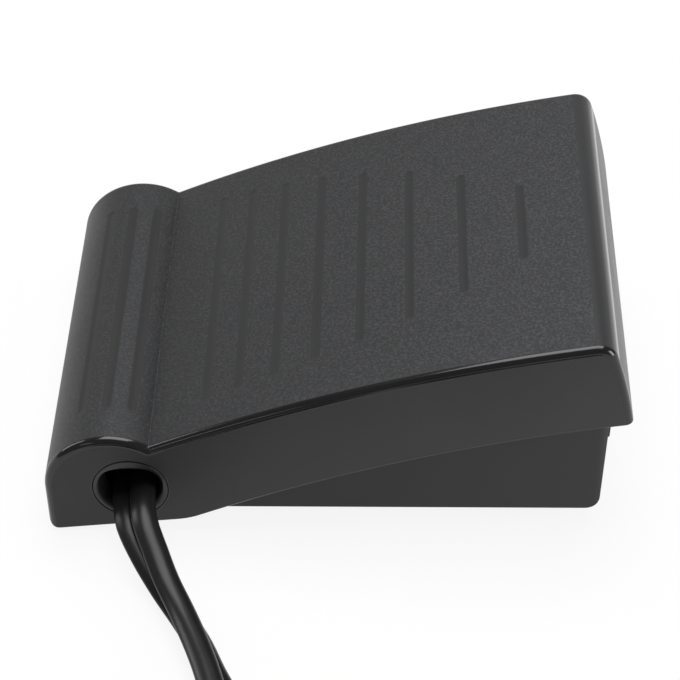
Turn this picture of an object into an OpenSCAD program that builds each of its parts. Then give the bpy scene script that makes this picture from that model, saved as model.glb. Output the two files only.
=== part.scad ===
// Foot pedal for a sewing machine: a moulded treadle that turns on two bushings at its heel,
// above a moulded tray that holds the speed control. Two flat leads leave through the near bushing.
// Millimetres. Outlines are drawn from the heel (x) and the floor (z), with y across the pedal.
// The part's origin is on the floor, under the middle of the pedal.

/* [Treadle cover] */
// Length of the treadle, heel to toe
cover_len = 139.8; // [130:0.1:160]
// Width of the treadle
cover_w = 100; // [90:0.5:120]
// Wall of the treadle's shell
cover_wall = 2.4; // [1.8:0.1:3]
// Where the tread plate meets the heel barrel, from the heel
valley_x = 26; // [24:0.5:28]
// Height of that line above the floor
valley_h = 28; // [27:0.5:29]
// Slope of the tread plate there, in degrees
plate_angle = 24.4; // [22:0.1:26]
// Radius of the tread plate's curve
plate_r = 434; // [380:1:600]
// Depth of the skirt below the tread plate
skirt_h = 24.75; // [22:0.25:26]
// Lean of the toe face, in degrees
toe_lean = 16.3; // [8:0.1:20]
// Radius of the toe's upper edge
toe_r = 4.5; // [2:0.1:6]
// Radius of the side edges
edge_r = 2.5; // [1:0.1:3]
// Radius of the fill in the valley between the barrel and the plate
valley_r = 0.8; // [0.6:0.1:1.2]
// Radius of the heel barrel
barrel_r = 16.2; // [15.5:0.1:16.6]
// Height of the barrel's centre above the floor
barrel_h = 14.2; // [13.8:0.1:14.6]
// Height of the heel's lower corner above the floor
heel_gap = 0.7; // [0.3:0.1:1.2]
// Slope of the heel's lower edge, in degrees
heel_slope = 6.9; // [5:0.1:8]

/* [Tread grooves] */
// Width of a groove
groove_w = 2.4; // [1.5:0.1:3.5]
// Depth of a groove
groove_depth = 0.5; // [0.2:0.05:0.9]
// Grooves in the tread plate
groove_count = 8; // [4:1:8]
// Distance of the first groove from the toe
groove_first = 25.3; // [20:0.1:30]
// Distance from the first groove to the second
groove_pitch = 14.3; // [12:0.1:15]
// How the distance shrinks from groove to groove
groove_shrink = 0.905; // [0.85:0.005:0.93]
// Half the length that the grooves grow towards
groove_reach = 41; // [30:0.5:43]
// Share of that length which the first groove lacks
groove_lack = 0.65; // [0.4:0.01:0.7]
// How the lack shrinks from groove to groove
groove_fade = 0.68; // [0.5:0.01:0.8]
// Grooves in the heel barrel
barrel_grooves = 3; // [1:1:3]
// Angle of the first barrel groove, in degrees
barrel_groove_angle = 73; // [70:1:76]
// Angle between barrel grooves, in degrees
barrel_groove_step = 22; // [18:1:24]
// Half the length of a barrel groove
barrel_groove_half = 38.7; // [30:0.1:42]

/* [Pivot] */
// Distance of the pivot from the heel
pivot_x = 20.5; // [19.5:0.1:21.5]
// Height of the pivot above the floor
pivot_h = 14.5; // [14:0.1:15]
// Radius of the bushings that the treadle turns on
trunnion_r = 9.05; // [8.5:0.05:9.4]
// Running clearance around the bushings
trunnion_clearance = 0.08; // [0.03:0.01:0.1]
// Length of the bearing boss inside the treadle's side wall
bearing_len = 3; // [2:0.1:3.4]
// Wall of the bearing boss
bearing_wall = 1.8; // [1.2:0.1:2]
// Side play of the treadle between the bushings
bearing_play = 0.5; // [0.3:0.1:0.8]
// How far the treadle goes down, in degrees
press_angle = 8; // [6:0.5:8.5]

/* [Base tray] */
// Wall of the tray
base_wall = 2; // [1.6:0.1:2.4]
// Thickness of the tray's floor
base_floor = 2.6; // [2.4:0.1:3]
// Gap between the skirt and the tray
side_gap = 1.6; // [1.2:0.1:2]
// Distance of the tray's rear edge from the heel
base_heel_x = 4.5; // [4.2:0.1:5]
// Length of the tray's narrower heel part
tongue_len = 31.5; // [30:0.5:33]
// How much narrower the heel part is on each side
tongue_step = 2; // [1.9:0.1:2.5]
// Distance of the tray's toe wall from the treadle's toe
base_toe_gap = 6.2; // [5.5:0.1:8]
// Lean of the tray's toe wall, in degrees
base_toe_lean = 2; // [0:0.1:3]
// Radius of the tray's lower toe edge and of its upright edges
base_corner_r = 3.5; // [2:0.1:4]
// Gap between the tray's wall and the pressed treadle
press_gap = 2.5; // [2:0.1:4]
// Width of the guide rib on the toe wall
guide_rib_w = 8; // [5:0.5:12]
// Thickness of the guide rib
guide_rib_t = 0.8; // [0.5:0.1:1.2]
// Height where the guide rib starts
guide_rib_h = 25.3; // [22:0.1:28]
// Width of the stop ribs in the treadle's heel
heel_stop_w = 6; // [4:0.5:8]
// Distance of the stop ribs from the middle
heel_stop_y = 25; // [18:1:30]
// Gap at every stop, and between pieces that only just touch
touch_gap = 0.3; // [0.2:0.05:0.4]

/* [Rubber feet] */
// Height of the feet under the tray
foot_h = 4.5; // [4:0.1:5]
// Radius of a foot
foot_r = 6.5; // [5:0.1:7]
// Depth of the pocket that a foot sits in
foot_seat = 1; // [0.6:0.1:1.2]
// Clearance around small pieces in their seats
seat_clearance = 0.1; // [0.05:0.05:0.15]
// Distance of the rear feet from the tray's rear edge
foot_rear = 9; // [8:0.5:10]
// Distance of the front feet from the tray's toe wall
foot_front = 14; // [11:0.5:18]
// Distance of the front feet from the tray's sides
foot_side = 13; // [12:0.5:16]
// Distance of the rear feet from the sides of the tray's heel part
foot_rear_side = 18; // [17.5:0.5:22]

/* [Cord bushing] */
// Radius of the passage for the leads
cord_hole_r = 8; // [7.6:0.1:8.1]
// Height of the flat above the passage's middle
cord_hole_flat = 6.1; // [5:0.1:6.5]
// Length of the bushing's foot along the pivot
bushing_len = 13; // [12:0.5:14]
// Width of the bushing's foot
bushing_w = 26; // [24:0.5:28]
// Distance between a bushing's two screws
bushing_screw_pitch = 20; // [19:0.5:21]
// Chamfer at the rim of the bushings
rim_chamfer = 0.4; // [0.2:0.1:0.6]

/* [Screws] */
// Radius of a screw's shank
screw_r = 1.4; // [1.2:0.05:1.5]
// Radius of a screw's head
screw_head_r = 2.7; // [2.4:0.1:2.8]
// Height of a screw's head
screw_head_h = 1.3; // [1:0.1:1.4]
// Length of a screw's shank
screw_len = 5; // [4.5:0.5:5.5]

/* [Springs and stops] */
// Distance of the return springs from the heel
spring_x = 100; // [98:0.5:102]
// Distance of the return springs from the middle
spring_y = 26; // [20:0.5:28]
// Mean radius of a return spring
spring_r = 4.6; // [4.2:0.1:5]
// Radius of its wire
spring_wire_r = 0.5; // [0.4:0.05:0.55]
// Turns of a return spring
spring_turns = 8; // [6:1:9]
// Height of the return springs' upper seat
spring_seat_h = 36; // [34:0.5:37]
// Distance of the rubber stops from the toe
stop_toe = 19.8; // [19:0.1:21]
// Distance of the rubber stops from the middle
stop_y = 34; // [30:0.5:35]
// Radius of a rubber stop
stop_r = 4.5; // [4:0.1:5]
// Height of a rubber stop's head
stop_head = 4; // [3:0.1:5]
// Height of the rubber stops' tops
stop_h = 30; // [28:0.5:31]
// Length of a rubber stop's stem
stop_stem = 4.5; // [3.5:0.1:5]
// Room under the stem
stop_room = 0.5; // [0.3:0.1:1]

/* [Speed plunger] */
// Distance of the plunger from the heel
plunger_x = 86.5; // [86:0.5:88]
// Side of the square plunger
plunger_w = 10; // [9.5:0.1:10.5]
// Height of the plunger's top
plunger_top = 38; // [37:0.5:38.5]
// Length of the plunger
plunger_len = 20.6; // [19.5:0.1:20.6]
// Radius of its rounded top
plunger_dome_r = 8; // [7.6:0.1:9]
// Running clearance of the plunger in its guide
guide_clearance = 0.25; // [0.15:0.05:0.3]
// Wall of the plunger's guide
guide_wall = 2.2; // [1.8:0.1:2.6]
// Height of the guide's top
guide_top = 27; // [26:0.5:27]
// Radius of the bore that holds the plunger's spring
plunger_bore_r = 3.3; // [3:0.1:3.5]
// Wall above that bore
plunger_roof = 5; // [4.5:0.1:6]
// Mean radius of the plunger's spring
plunger_spring_r = 2.6; // [2.3:0.1:2.6]
// Radius of its wire
plunger_wire_r = 0.3; // [0.25:0.05:0.35]
// Turns of the plunger's spring
plunger_turns = 9; // [7:1:10]
// Radius of the wear pad that presses the plunger
pad_r = 4.5; // [4:0.1:5]
// Thickness of the wear pad
pad_t = 2; // [1.5:0.1:2.5]

/* [Slide potentiometer] */
// Depth of the potentiometer's body, heel to toe
pot_depth = 6.5; // [6:0.1:6.8]
// Width of its body
pot_w = 9; // [8:0.1:10]
// Height of its body
pot_len = 22; // [21:0.5:22.5]
// Height of its lower end
pot_h = 11; // [10.5:0.5:11.5]
// Width of the slot for its slider
pot_slot_w = 2.4; // [2.2:0.1:3]
// Thickness of the slider tab
tab_t = 1.4; // [1.2:0.1:1.6]
// Height of the slider tab above the plunger's lower end
tab_rise = 9.6; // [9.4:0.1:10]

/* [Circuit board] */
// Distance of the board from the heel
board_x = 42; // [41.5:0.5:42.5]
// Length of the board, heel to toe
board_len = 28; // [28:0.5:29]
// Width of the board
board_w = 76; // [74:0.5:80]
// Thickness of the board
board_t = 1.6; // [1.2:0.1:2]
// Height of the board above the tray's floor
board_stand = 4; // [3.5:0.1:4.5]
// Distance of the board's screws from its edges
board_inset = 3.5; // [3:0.1:4]
// Length, width and height of the terminal block
terminal_size = [10, 20, 10];
// Radius of its wire holes
terminal_hole_r = 1.4; // [1.3:0.05:1.6]
// Length, width and height of the suppression capacitor
capacitor_size = [8, 18, 12];
// Outer radius of the choke's core
choke_r = 8; // [7:0.1:8]
// Radius of the hole in the choke's core
choke_hole_r = 4; // [3.5:0.1:4.2]
// Height of the choke's core
choke_h = 6; // [5:0.1:7]
// Radius of the fuse
fuse_r = 2.6; // [2.4:0.1:2.8]
// Length of the fuse
fuse_len = 20; // [19:0.5:21]
// Length, thickness and height of the heat sink
heat_sink_size = [14, 2, 14];

/* [Leads] */
// Width of a flat lead
cord_w = 6.2; // [6:0.1:6.3]
// Thickness of a flat lead
cord_t = 3.6; // [3.4:0.1:3.7]
// Mean radius of a lead's coil
coil_r = 33; // [32:0.5:34]
// Layers of turns in a coil, two turns in each
coil_layers = 4; // [4:1:5]
// Room around each turn of a coil
coil_room = 0.1; // [0.05:0.05:0.2]
// Thickness of the tie around a coil
tie_t = 0.7; // [0.5:0.1:0.8]
// Width of the tie
tie_w = 12; // [8:1:16]
// Radius of the plug's pins
plug_pin_r = 2; // [1.9:0.05:2.1]
// Length of the plug's pins
plug_pin_len = 19; // [18:0.5:20]
// Distance between the plug's pins
plug_pin_pitch = 18.6; // [18:0.1:19]
// Width of the plug's face
plug_w = 35; // [33:0.5:36]
// Length of the plug's body
plug_len = 30; // [28:0.5:32]
// Thickness of the plug
plug_t = 13.6; // [13:0.1:13.8]
// Width, length and thickness of the machine's connector
connector_size = [19, 30, 12];
// Radius of the connector's contact holes
contact_hole_r = 2.3; // [2.2:0.05:2.5]
// Distance between the contact holes
contact_pitch = 9; // [8:0.1:10]

/* [Hidden] */
$fn = 48;
// Colours
black_abs = [0.09, 0.09, 0.095];
cord_black = [0.05, 0.05, 0.055];
rubber_grey = [0.13, 0.13, 0.13];
steel = [0.72, 0.72, 0.74];
brass = [0.75, 0.6, 0.3];
board_green = [0.12, 0.35, 0.2];
// Long enough to cut through anything
far = 400;
// A step by which cutting shapes pass a face
past = 0.05;

// The tread plate's curve, the skirt's edge and the toe face
plate_c = [valley_x + plate_r * sin(plate_angle), valley_h - plate_r * cos(plate_angle)];
skirt_r = plate_r - skirt_h;
toe_low_z = plate_c[1] + sqrt(pow(skirt_r, 2) - pow(cover_len - plate_c[0], 2));
toe_out = [cos(toe_lean), sin(toe_lean)];
toe_up = [-sin(toe_lean), cos(toe_lean)];
barrel_x = barrel_r - past;
valley_line = plate_c - [barrel_x, barrel_h];
valley_gap = norm(valley_line);
valley_run = (valley_gap * valley_gap + barrel_r * barrel_r - plate_r * plate_r) / (2 * valley_gap);
valley_off = sqrt(barrel_r * barrel_r - valley_run * valley_run);
valley_at = [barrel_x, barrel_h]
    + (valley_run * valley_line + valley_off * [-valley_line[1], valley_line[0]]) / valley_gap;
half_w = cover_w / 2;
inner_half = half_w - cover_wall;
// The tray
tray_half = inner_half - side_gap;
tongue_half = tray_half - tongue_step;
tongue_x = base_heel_x + tongue_len;
tray_toe_x = cover_len - base_toe_gap;
floor_top = foot_h + base_floor;
// The plate's centre when the treadle is pressed
pressed_c = turned(plate_c, press_angle);
// Bushings: the treadle runs on the first stretch, and the foot stands on the tray
bushing_face = inner_half - bearing_len - bearing_play;
// Plunger
plunger_low = plunger_top - plunger_len;
pad_h = plunger_top + touch_gap;
plunger_stroke = pad_h - turned([plunger_x, pad_h], press_angle)[1];
guide_half = plunger_w / 2 + guide_clearance;
guide_out = guide_half + guide_wall;
tab_h = plunger_low + tab_rise;
pot_x = plunger_x - guide_out - touch_gap - pot_depth;
// The rubber stops, and the height of a treadle post that meets one at the end of the travel
stop_x = cover_len - stop_toe;
stop_post_h = unturned([stop_x, stop_h + touch_gap], press_angle)[1];
// Board
board_top = floor_top + board_stand + board_t;
terminal_x = board_x + 2;
terminal_y = -16;
terminal_wires = 4;
terminal_step = terminal_size[1] / terminal_wires;
wire_h = board_top + 3.6;
wire_r = 1.1;
fuse_x = board_x + 20;
fuse_y = -17;
clip_w = 4;
clip_t = 0.6;
choke_x = board_x + 9.5;
choke_y = 7;
winding_turns = 14;
winding_wire = 0.9;
capacitor_x = board_x + 19.5;
capacitor_y = 7;
resistor_y = -35.5;
sink_x = board_x + 7;
sink_y = 31;
triac_size = [10, 4.4, 15];
// Lead clamp
clamp_y = -22;
clamp_w = 8;
clamp_t = 4;
clamp_reach = 10.5;
clamp_boss_r = 3.2;
stub_h = 11;
stub_side = 3.5;
stub_in = -10;
stub_out = -34;

// Routes of the leads, from the bushing to their coils
mains_route = [[17, -34, 11], [18, -42, 10.5], [19, -50, 10.4], [20.5, -57.5, 9.3], [24.5, -65, 6.2],
    [29.5, -72.5, 3.2], [34.5, -80, 2], [39, -88, 1.9], [42.5, -96, 1.9], [46.5, -104, 1.9],
    [50.7, -113, 1.9], [55.7, -123.5, 1.9], [60.7, -134, 2], [66, -145.5, 2.4], [72.5, -159, 2.7],
    [79.3, -173.5, 2.7]];
machine_route = [[24, -34, 11], [23.6, -42, 12.8], [23.4, -50, 13.6], [24.5, -58.5, 12.8],
    [27.5, -66, 10], [30.5, -73, 7.6], [34.5, -81, 6], [38.2, -89.5, 5.5], [41, -97, 5.5],
    [43.5, -105, 5.5], [46.2, -113, 5.5], [49.8, -123.5, 4], [53.3, -134, 2.7], [57.4, -146.6, 2.7]];
// Coils: centre, and the route of the tail that turns in over the coil to the plug or connector
mains_coil_at = [112, -158];
machine_coil_at = [23, -158];
mains_tail_route = [[146, -170.4, 13.9], [147.5, -159.7, 15.4], [144.6, -149.3, 17.2], [137.6, -141, 17.6],
    [127, -136.1, 18], [115.3, -136.3, 19.4], [104.9, -141.6, 21.4], [98, -150.5, 22.5]];
machine_tail_route = [[-11, -170.4, 13.9], [-12.5, -159.7, 15.4], [-9.6, -149.3, 17.2], [-2.6, -141, 17.6],
    [7.1, -136.3, 17.7], [17.9, -135.9, 18.2], [27.9, -139.9, 19.4], [36.4, -149.3, 21],
    [39.4, -161.5, 21.7]];
// Angles where the ties sit, and the directions and heights of plug and connector, which lie on the coils
mains_tie_angle = 290;
machine_tie_angle = 250;
coil_top = tie_t + coil_room + coil_layers * (cord_t + coil_room);
plug_turn = -25;
plug_h = coil_top + plug_t / 2 + coil_room;
connector_turn = 0;
connector_h = coil_top + connector_size[2] / 2 + coil_room;
relief_len = 16;
relief_r = [3.5, 5];
// The four cores, from the stubs to the terminal block
wire_routes = [
    [[15.6, -10, 11], [17, -1, 12], [27, 3, 14], [36, -4, wire_h]],
    [[18.4, -10, 11], [20, -3.5, 12], [28, -1.5, 14], [36, -9.5, wire_h]],
    [[22.6, -10, 11], [25, -5.5, 12.5], [31, -8, 14.2], [37, -15.5, wire_h]],
    [[25.4, -10, 11], [28.5, -8.8, 12.5], [33, -14, 14.2], [38, -20.4, wire_h]]];

// A point of the side view after the treadle has gone down by an angle, and the way back
function turned(p, a) = [
    pivot_x + (p[0] - pivot_x) * cos(a) + (p[1] - pivot_h) * sin(a),
    pivot_h - (p[0] - pivot_x) * sin(a) + (p[1] - pivot_h) * cos(a)];
// The height of a treadle point at a given x that is at p's height when pressed
function unturned(p, a) = [p[0], pivot_h + (p[1] - pivot_h + (p[0] - pivot_x) * sin(a)) / cos(a)];
function arc(c, r, a0, a1, n) = [for (i = [0:n]) let (a = a0 + (a1 - a0) * i / n) c + r * [cos(a), sin(a)]];
function plate_z(x, inset = 0) = plate_c[1] + sqrt(pow(plate_r - inset, 2) - pow(x - plate_c[0], 2));
function plate_dir(x) = asin((plate_c[0] - x) / plate_r);
function unit(v) = v / norm(v);
// Rings of points around a route, flat side level, for a lead or a wire
function rings(route, a, b, sides) = [for (i = [0:len(route) - 1]) let (
        last = len(route) - 1,
        along = unit(route[min(i + 1, last)] - route[max(i - 1, 0)]),
        across = unit(cross(along, [0, 0, 1])),
        up = cross(across, along))
    for (k = [0:sides - 1]) route[i] + a * cos(360 * k / sides) * across + b * sin(360 * k / sides) * up];
function tube_faces(count, sides) = concat(
    [for (i = [0:count - 2]) for (k = [0:sides - 1]) let (n = (k + 1) % sides)
        [i * sides + k, (i + 1) * sides + k, i * sides + n]],
    [for (i = [0:count - 2]) for (k = [0:sides - 1]) let (n = (k + 1) % sides)
        [(i + 1) * sides + k, (i + 1) * sides + n, i * sides + n]],
    [[for (k = [0:sides - 1]) k]],
    [[for (k = [0:sides - 1]) count * sides - 1 - k]]);
function coil_points(r, low, high, turns, steps) = [for (i = [0:turns * steps])
    [r * cos(360 * i / steps), r * sin(360 * i / steps), low + (high - low) * i / (turns * steps)]];

module from_heel() { translate([-cover_len / 2, 0, 0]) children(); }
module both_sides() {
    children();
    mirror([0, 1, 0]) children();
}
// Draws a side outline through the pedal's width
module across(width) { rotate([90, 0, 0]) linear_extrude(width, center = true) children(); }
module tube(route, width, thick, sides) {
    polyhedron(rings(route, width / 2, thick / 2, sides), tube_faces(len(route), sides));
}
module coil_spring(r, wire, low, high, turns) {
    tube(coil_points(r, low + wire, high - wire, turns, 9), 2 * wire, 2 * wire, 6);
}
module slot(length, width) {
    square([width, length - width], center = true);
    for (s = [-1, 1]) translate([0, s * (length - width) / 2]) circle(d = width);
}
module box(low, high) { translate(low) cube(high - low); }
// A screw whose head rests on z = 0, pointing down
module screw(length) {
    difference() {
        union() {
            translate([0, 0, -length]) cylinder(r = screw_r, h = length + past);
            cylinder(r = screw_head_r, h = screw_head_h);
        }
        translate([0, 0, screw_head_h]) cube([2 * screw_head_r + 1, 0.8, screw_head_h], center = true);
    }
}

// The treadle's section across the plate or the barrel, with rounded edges
module round_bar(inside, outside) {
    translate([inside, -half_w]) square([outside - edge_r - inside, cover_w]);
    translate([inside, edge_r - half_w]) square([outside - inside, cover_w - 2 * edge_r]);
    for (s = [-1, 1]) translate([outside - edge_r, s * (half_w - edge_r)]) circle(r = edge_r);
}
// Side view of everything behind the heel face, above the lower edge and behind the toe face
module side_limits() {
    low = [cover_len, toe_low_z];
    q = low - toe_r * toe_out - plate_c;
    rise = -q * toe_up + sqrt(pow(q * toe_up, 2) - q * q + pow(plate_r - toe_r, 2));
    centre = low - toe_r * toe_out + rise * toe_up + [0, past];
    top = atan2(centre[1] - plate_c[1], centre[0] - plate_c[0]);
    difference() {
        polygon(concat(
            [[0, heel_gap], [cover_len + skirt_h, heel_gap + (cover_len + skirt_h) * tan(heel_slope)],
                low - skirt_h * toe_up],
            arc(centre, toe_r, toe_lean, top, 8),
            [[centre[0], far], [0, far]]));
        translate(plate_c) circle(r = skirt_r, $fn = 360);
    }
}
module cover_form() {
    start = acos((barrel_x - plate_c[0]) / plate_r);
    sweep = start - 90;
    intersection() {
        across(cover_w) side_limits();
        union() {
            translate([plate_c[0], 0, plate_c[1]]) rotate([90, 90 - start, 0]) rotate([0, 0, 90 - sweep])
                rotate_extrude(angle = sweep, $fn = 720) round_bar(skirt_r - barrel_r, plate_r);
            translate([barrel_x, 0, barrel_h]) rotate([90, 0, 0]) rotate_extrude() round_bar(0, barrel_r);
            box([-1, -half_w, -past], [barrel_x, half_w, barrel_h]);
            translate([valley_at[0], 0, valley_at[1] - valley_r / 2]) rotate([90, 0, 0])
                cylinder(r = valley_r, h = cover_w - 2 * edge_r + valley_r, center = true);
        }
    }
}
module cover_hollow() {
    intersection() {
        across(2 * inner_half) polygon([[cover_wall, -far], [cover_wall, far],
            [cover_len, toe_low_z] - cover_wall * toe_out + far * toe_up,
            [cover_len, toe_low_z] - cover_wall * toe_out - far * toe_up]);
        union() {
            translate([plate_c[0], 0, plate_c[1]]) rotate([90, 0, 0])
                cylinder(r = plate_r - cover_wall, h = cover_w, center = true, $fn = 720);
            translate([barrel_x, 0, barrel_h]) rotate([90, 0, 0])
                cylinder(r = barrel_r - cover_wall, h = cover_w, center = true);
            box([-past, -half_w, -far], [barrel_x, half_w, barrel_h]);
        }
    }
}
module grooves() {
    for (i = [0:groove_count - 1]) {
        x = cover_len - groove_first - groove_pitch * (1 - pow(groove_shrink, i)) / (1 - groove_shrink);
        half = groove_reach * (1 - groove_lack * pow(groove_fade, i));
        translate([x, 0, plate_z(x)]) rotate([0, -plate_dir(x), 0]) translate([0, 0, -groove_depth])
            linear_extrude(2) slot(2 * half, groove_w);
    }
    for (i = [0:barrel_grooves - 1]) {
        a = barrel_groove_angle + barrel_groove_step * i;
        translate([barrel_x, 0, barrel_h]) rotate([0, 90 - a, 0]) translate([0, 0, barrel_r - groove_depth])
            linear_extrude(2) slot(2 * barrel_groove_half, groove_w);
    }
}
// A post that hangs from the plate down to a height
module hung_post(x, y, r, low) {
    intersection() {
        translate([x, y, low]) cylinder(r = r, h = far);
        translate([plate_c[0], 0, plate_c[1]]) rotate([90, 0, 0])
            cylinder(r = plate_r - cover_wall / 2, h = cover_w, center = true, $fn = 720);
    }
}
module treadle_cover() {
    color(black_abs) from_heel() difference() {
        union() {
            difference() {
                cover_form();
                cover_hollow();
                grooves();
            }
            both_sides() {
                translate([pivot_x, -inner_half - past, pivot_h]) rotate([-90, 0, 0])
                    cylinder(r = trunnion_r + trunnion_clearance + bearing_wall, h = bearing_len + past);
                translate([cover_wall - past, heel_stop_y, foot_h - past])
                    cube([base_heel_x - touch_gap - cover_wall + past, heel_stop_w, base_floor + 2]);
                hung_post(spring_x, spring_y, spring_r + 1.5, spring_seat_h);
                hung_post(spring_x, spring_y, spring_r - 2 * spring_wire_r, spring_seat_h - 5);
                hung_post(stop_x, stop_y, stop_r, stop_post_h);
            }
            hung_post(plunger_x, 0, pad_r + 1, pad_h + pad_t);
        }
        translate([pivot_x, 0, pivot_h]) rotate([90, 0, 0])
            cylinder(r = trunnion_r + trunnion_clearance, h = cover_w + 1, center = true);
        translate([plunger_x, 0, pad_h]) cylinder(r = pad_stem_r() + seat_clearance, h = pad_t + 3.2);
    }
}
function pad_stem_r() = pad_r / 2 - 0.3;
module pusher_pad() {
    color([0.85, 0.84, 0.78]) from_heel() translate([plunger_x, 0, pad_h]) {
        cylinder(r = pad_r, h = pad_t);
        cylinder(r = pad_stem_r(), h = pad_t + 3);
    }
}

// Tray
module tray_side() {
    lean = [-sin(-base_toe_lean), cos(base_toe_lean)];
    low = [tray_toe_x, foot_h];
    polygon(concat([[tongue_x, foot_h]],
        arc(low + [-base_corner_r, base_corner_r], base_corner_r, -90, 0, 6),
        [low + [0, base_corner_r] + far / 4 * lean, [tongue_x, far / 4]]));
}
module tray_plan(inset) {
    r = base_corner_r - inset;
    long = tray_toe_x + 2 - tongue_x;
    translate([tongue_x - past, -tray_half + inset]) square([long - base_corner_r, 2 * (tray_half - inset)]);
    translate([tongue_x - past, -tray_half + base_corner_r])
        square([long + past - inset, 2 * (tray_half - base_corner_r)]);
    for (s = [-1, 1]) translate([tongue_x + long - base_corner_r, s * (tray_half - base_corner_r)])
        circle(r = r);
}
module tray_shell() {
    difference() {
        intersection() {
            across(2 * tray_half) tray_side();
            linear_extrude(far / 4) tray_plan(0);
            translate([pressed_c[0], 0, pressed_c[1]]) rotate([90, 0, 0])
                cylinder(r = plate_r - cover_wall - press_gap, h = cover_w, center = true, $fn = 720);
        }
        translate([0, 0, floor_top]) linear_extrude(far / 4) tray_room();
    }
}
module tray_room() {
    translate([tongue_x - 1, base_wall - tray_half])
        square([tray_toe_x - base_wall - tongue_x + 1, 2 * (tray_half - base_wall)]);
}
module upright(x, y, r, high) {
    translate([x, y, floor_top - past]) cylinder(r = r, h = high - floor_top + past);
}
module guide_ribs() {
    intersection() {
        both_sides() box([tray_toe_x - 1, tray_half - base_corner_r - guide_rib_w, guide_rib_h],
            [tray_toe_x + 4, tray_half - base_corner_r, far / 4]);
        across(2 * tray_half) translate([guide_rib_t, 0]) tray_side();
        translate([pressed_c[0], 0, pressed_c[1]]) rotate([90, 0, 0])
            cylinder(r = plate_r - cover_wall - press_gap, h = cover_w, center = true, $fn = 720);
    }
}
module board_places() {
    for (x = [board_x + board_inset, board_x + board_len - board_inset])
        for (y = [-1, 1]) translate([x, y * (board_w / 2 - board_inset), 0]) children();
}
module bushing_screw_places() {
    both_sides() for (s = [-1, 1])
        translate([pivot_x + s * bushing_screw_pitch / 2, bushing_face - bushing_len / 2, 0]) children();
}
module clamp_places() {
    for (s = [-1, 1]) translate([pivot_x + s * clamp_reach, clamp_y, 0]) children();
}
module foot_places() {
    both_sides() {
        translate([base_heel_x + foot_rear, tongue_half - foot_rear_side, 0]) children();
        translate([tray_toe_x - foot_front, tray_half - foot_side, 0]) children();
    }
}
module base_tray() {
    guide_mid = [plunger_x, 0];
    color(black_abs) from_heel() difference() {
        union() {
            tray_shell();
            guide_ribs();
            box([base_heel_x, -tongue_half, foot_h], [tongue_x + 1, tongue_half, floor_top]);
            board_places() upright(0, 0, screw_r + 1.6, floor_top + board_stand);
            clamp_places() upright(0, 0, clamp_boss_r, stub_h + cord_t / 2);
            box([pivot_x - stub_side - cord_w / 2, clamp_y - 2, floor_top - past],
                [pivot_x + stub_side + cord_w / 2, clamp_y + 2, stub_h - cord_t / 2]);
            both_sides() {
                upright(spring_x, spring_y, spring_r + 1.5, floor_top + 2);
                upright(spring_x, spring_y, spring_r - 2 * spring_wire_r, floor_top + 7);
                upright(stop_x, stop_y, stop_r, stop_h - stop_head);
                box([pot_x - 1.6, pot_w / 2 + seat_clearance, floor_top - past],
                    [pot_x + pot_depth - 1.2, pot_w / 2 + 2, pot_h + 7]);
            }
            box([pot_x, -pot_w / 2, floor_top - past], [pot_x + pot_depth, pot_w / 2, pot_h]);
            translate([guide_mid[0] - guide_out, -guide_out, floor_top - past])
                cube([2 * guide_out, 2 * guide_out, guide_top - floor_top + past]);
        }
        translate([guide_mid[0] - guide_half, -guide_half, floor_top])
            cube([2 * guide_half, 2 * guide_half, far]);
        box([pot_x + pot_depth - past, -pot_slot_w / 2, tab_h - plunger_stroke - tab_t],
            [guide_mid[0] - guide_half + past, pot_slot_w / 2, far]);
        foot_places() translate([0, 0, foot_h - past])
            cylinder(r = foot_r + seat_clearance, h = foot_seat + past);
        board_places() translate([0, 0, floor_top]) cylinder(r = screw_r + past, h = far);
        clamp_places() translate([0, 0, floor_top]) cylinder(r = screw_r + past, h = far);
        bushing_screw_places() {
            translate([0, 0, foot_h - past])
                cylinder(r = screw_head_r + seat_clearance, h = screw_head_h + past);
            cylinder(r = screw_r + seat_clearance, h = far);
        }
        both_sides() translate([stop_x, stop_y, stop_h - stop_head - stop_stem - stop_room])
            cylinder(r = stop_stem_r() + past, h = far);
    }
}
function stop_stem_r() = stop_r / 2;
module rubber_feet() {
    color(rubber_grey) from_heel() foot_places() rotate_extrude() polygon([[0, 0.6], [foot_r - 2.5, 0.6],
        [foot_r - 2, 0], [foot_r - 0.6, 0], [foot_r, 0.6], [foot_r, foot_h + foot_seat],
        [0, foot_h + foot_seat]]);
}
// Bushing body: the round part that the treadle runs on, and the foot that stands on the tray
module bushing() {
    difference() {
        union() {
            translate([pivot_x, -half_w, pivot_h]) rotate([-90, 0, 0]) rotate_extrude() polygon([[0, 0],
                [trunnion_r - rim_chamfer, 0], [trunnion_r, rim_chamfer],
                [trunnion_r, half_w - bushing_face + past], [0, half_w - bushing_face + past]]);
            box([pivot_x - bushing_w / 2, -bushing_face, floor_top],
                [pivot_x + bushing_w / 2, bushing_len - bushing_face, pivot_h + cord_hole_flat + 2]);
        }
        for (s = [-1, 1])
            translate([pivot_x + s * bushing_screw_pitch / 2, bushing_len / 2 - bushing_face, 0])
                cylinder(r = screw_r + past, h = foot_h + screw_head_h + screw_len + 0.5);
    }
}
module cord_bushing() {
    hole = half_w + 1;
    color(black_abs) from_heel() difference() {
        bushing();
        intersection() {
            translate([pivot_x, -half_w - 1, pivot_h]) rotate([-90, 0, 0])
                cylinder(r = cord_hole_r, h = hole);
            box([0, -half_w - 2, 0], [2 * pivot_x, 0, pivot_h + cord_hole_flat]);
        }
    }
}
module pivot_bushing() {
    color(black_abs) from_heel() mirror([0, 1, 0]) difference() {
        bushing();
        translate([pivot_x, -half_w - 1, pivot_h]) rotate([-90, 0, 0]) cylinder(r = cord_hole_r - 1, h = 2);
    }
}
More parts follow.
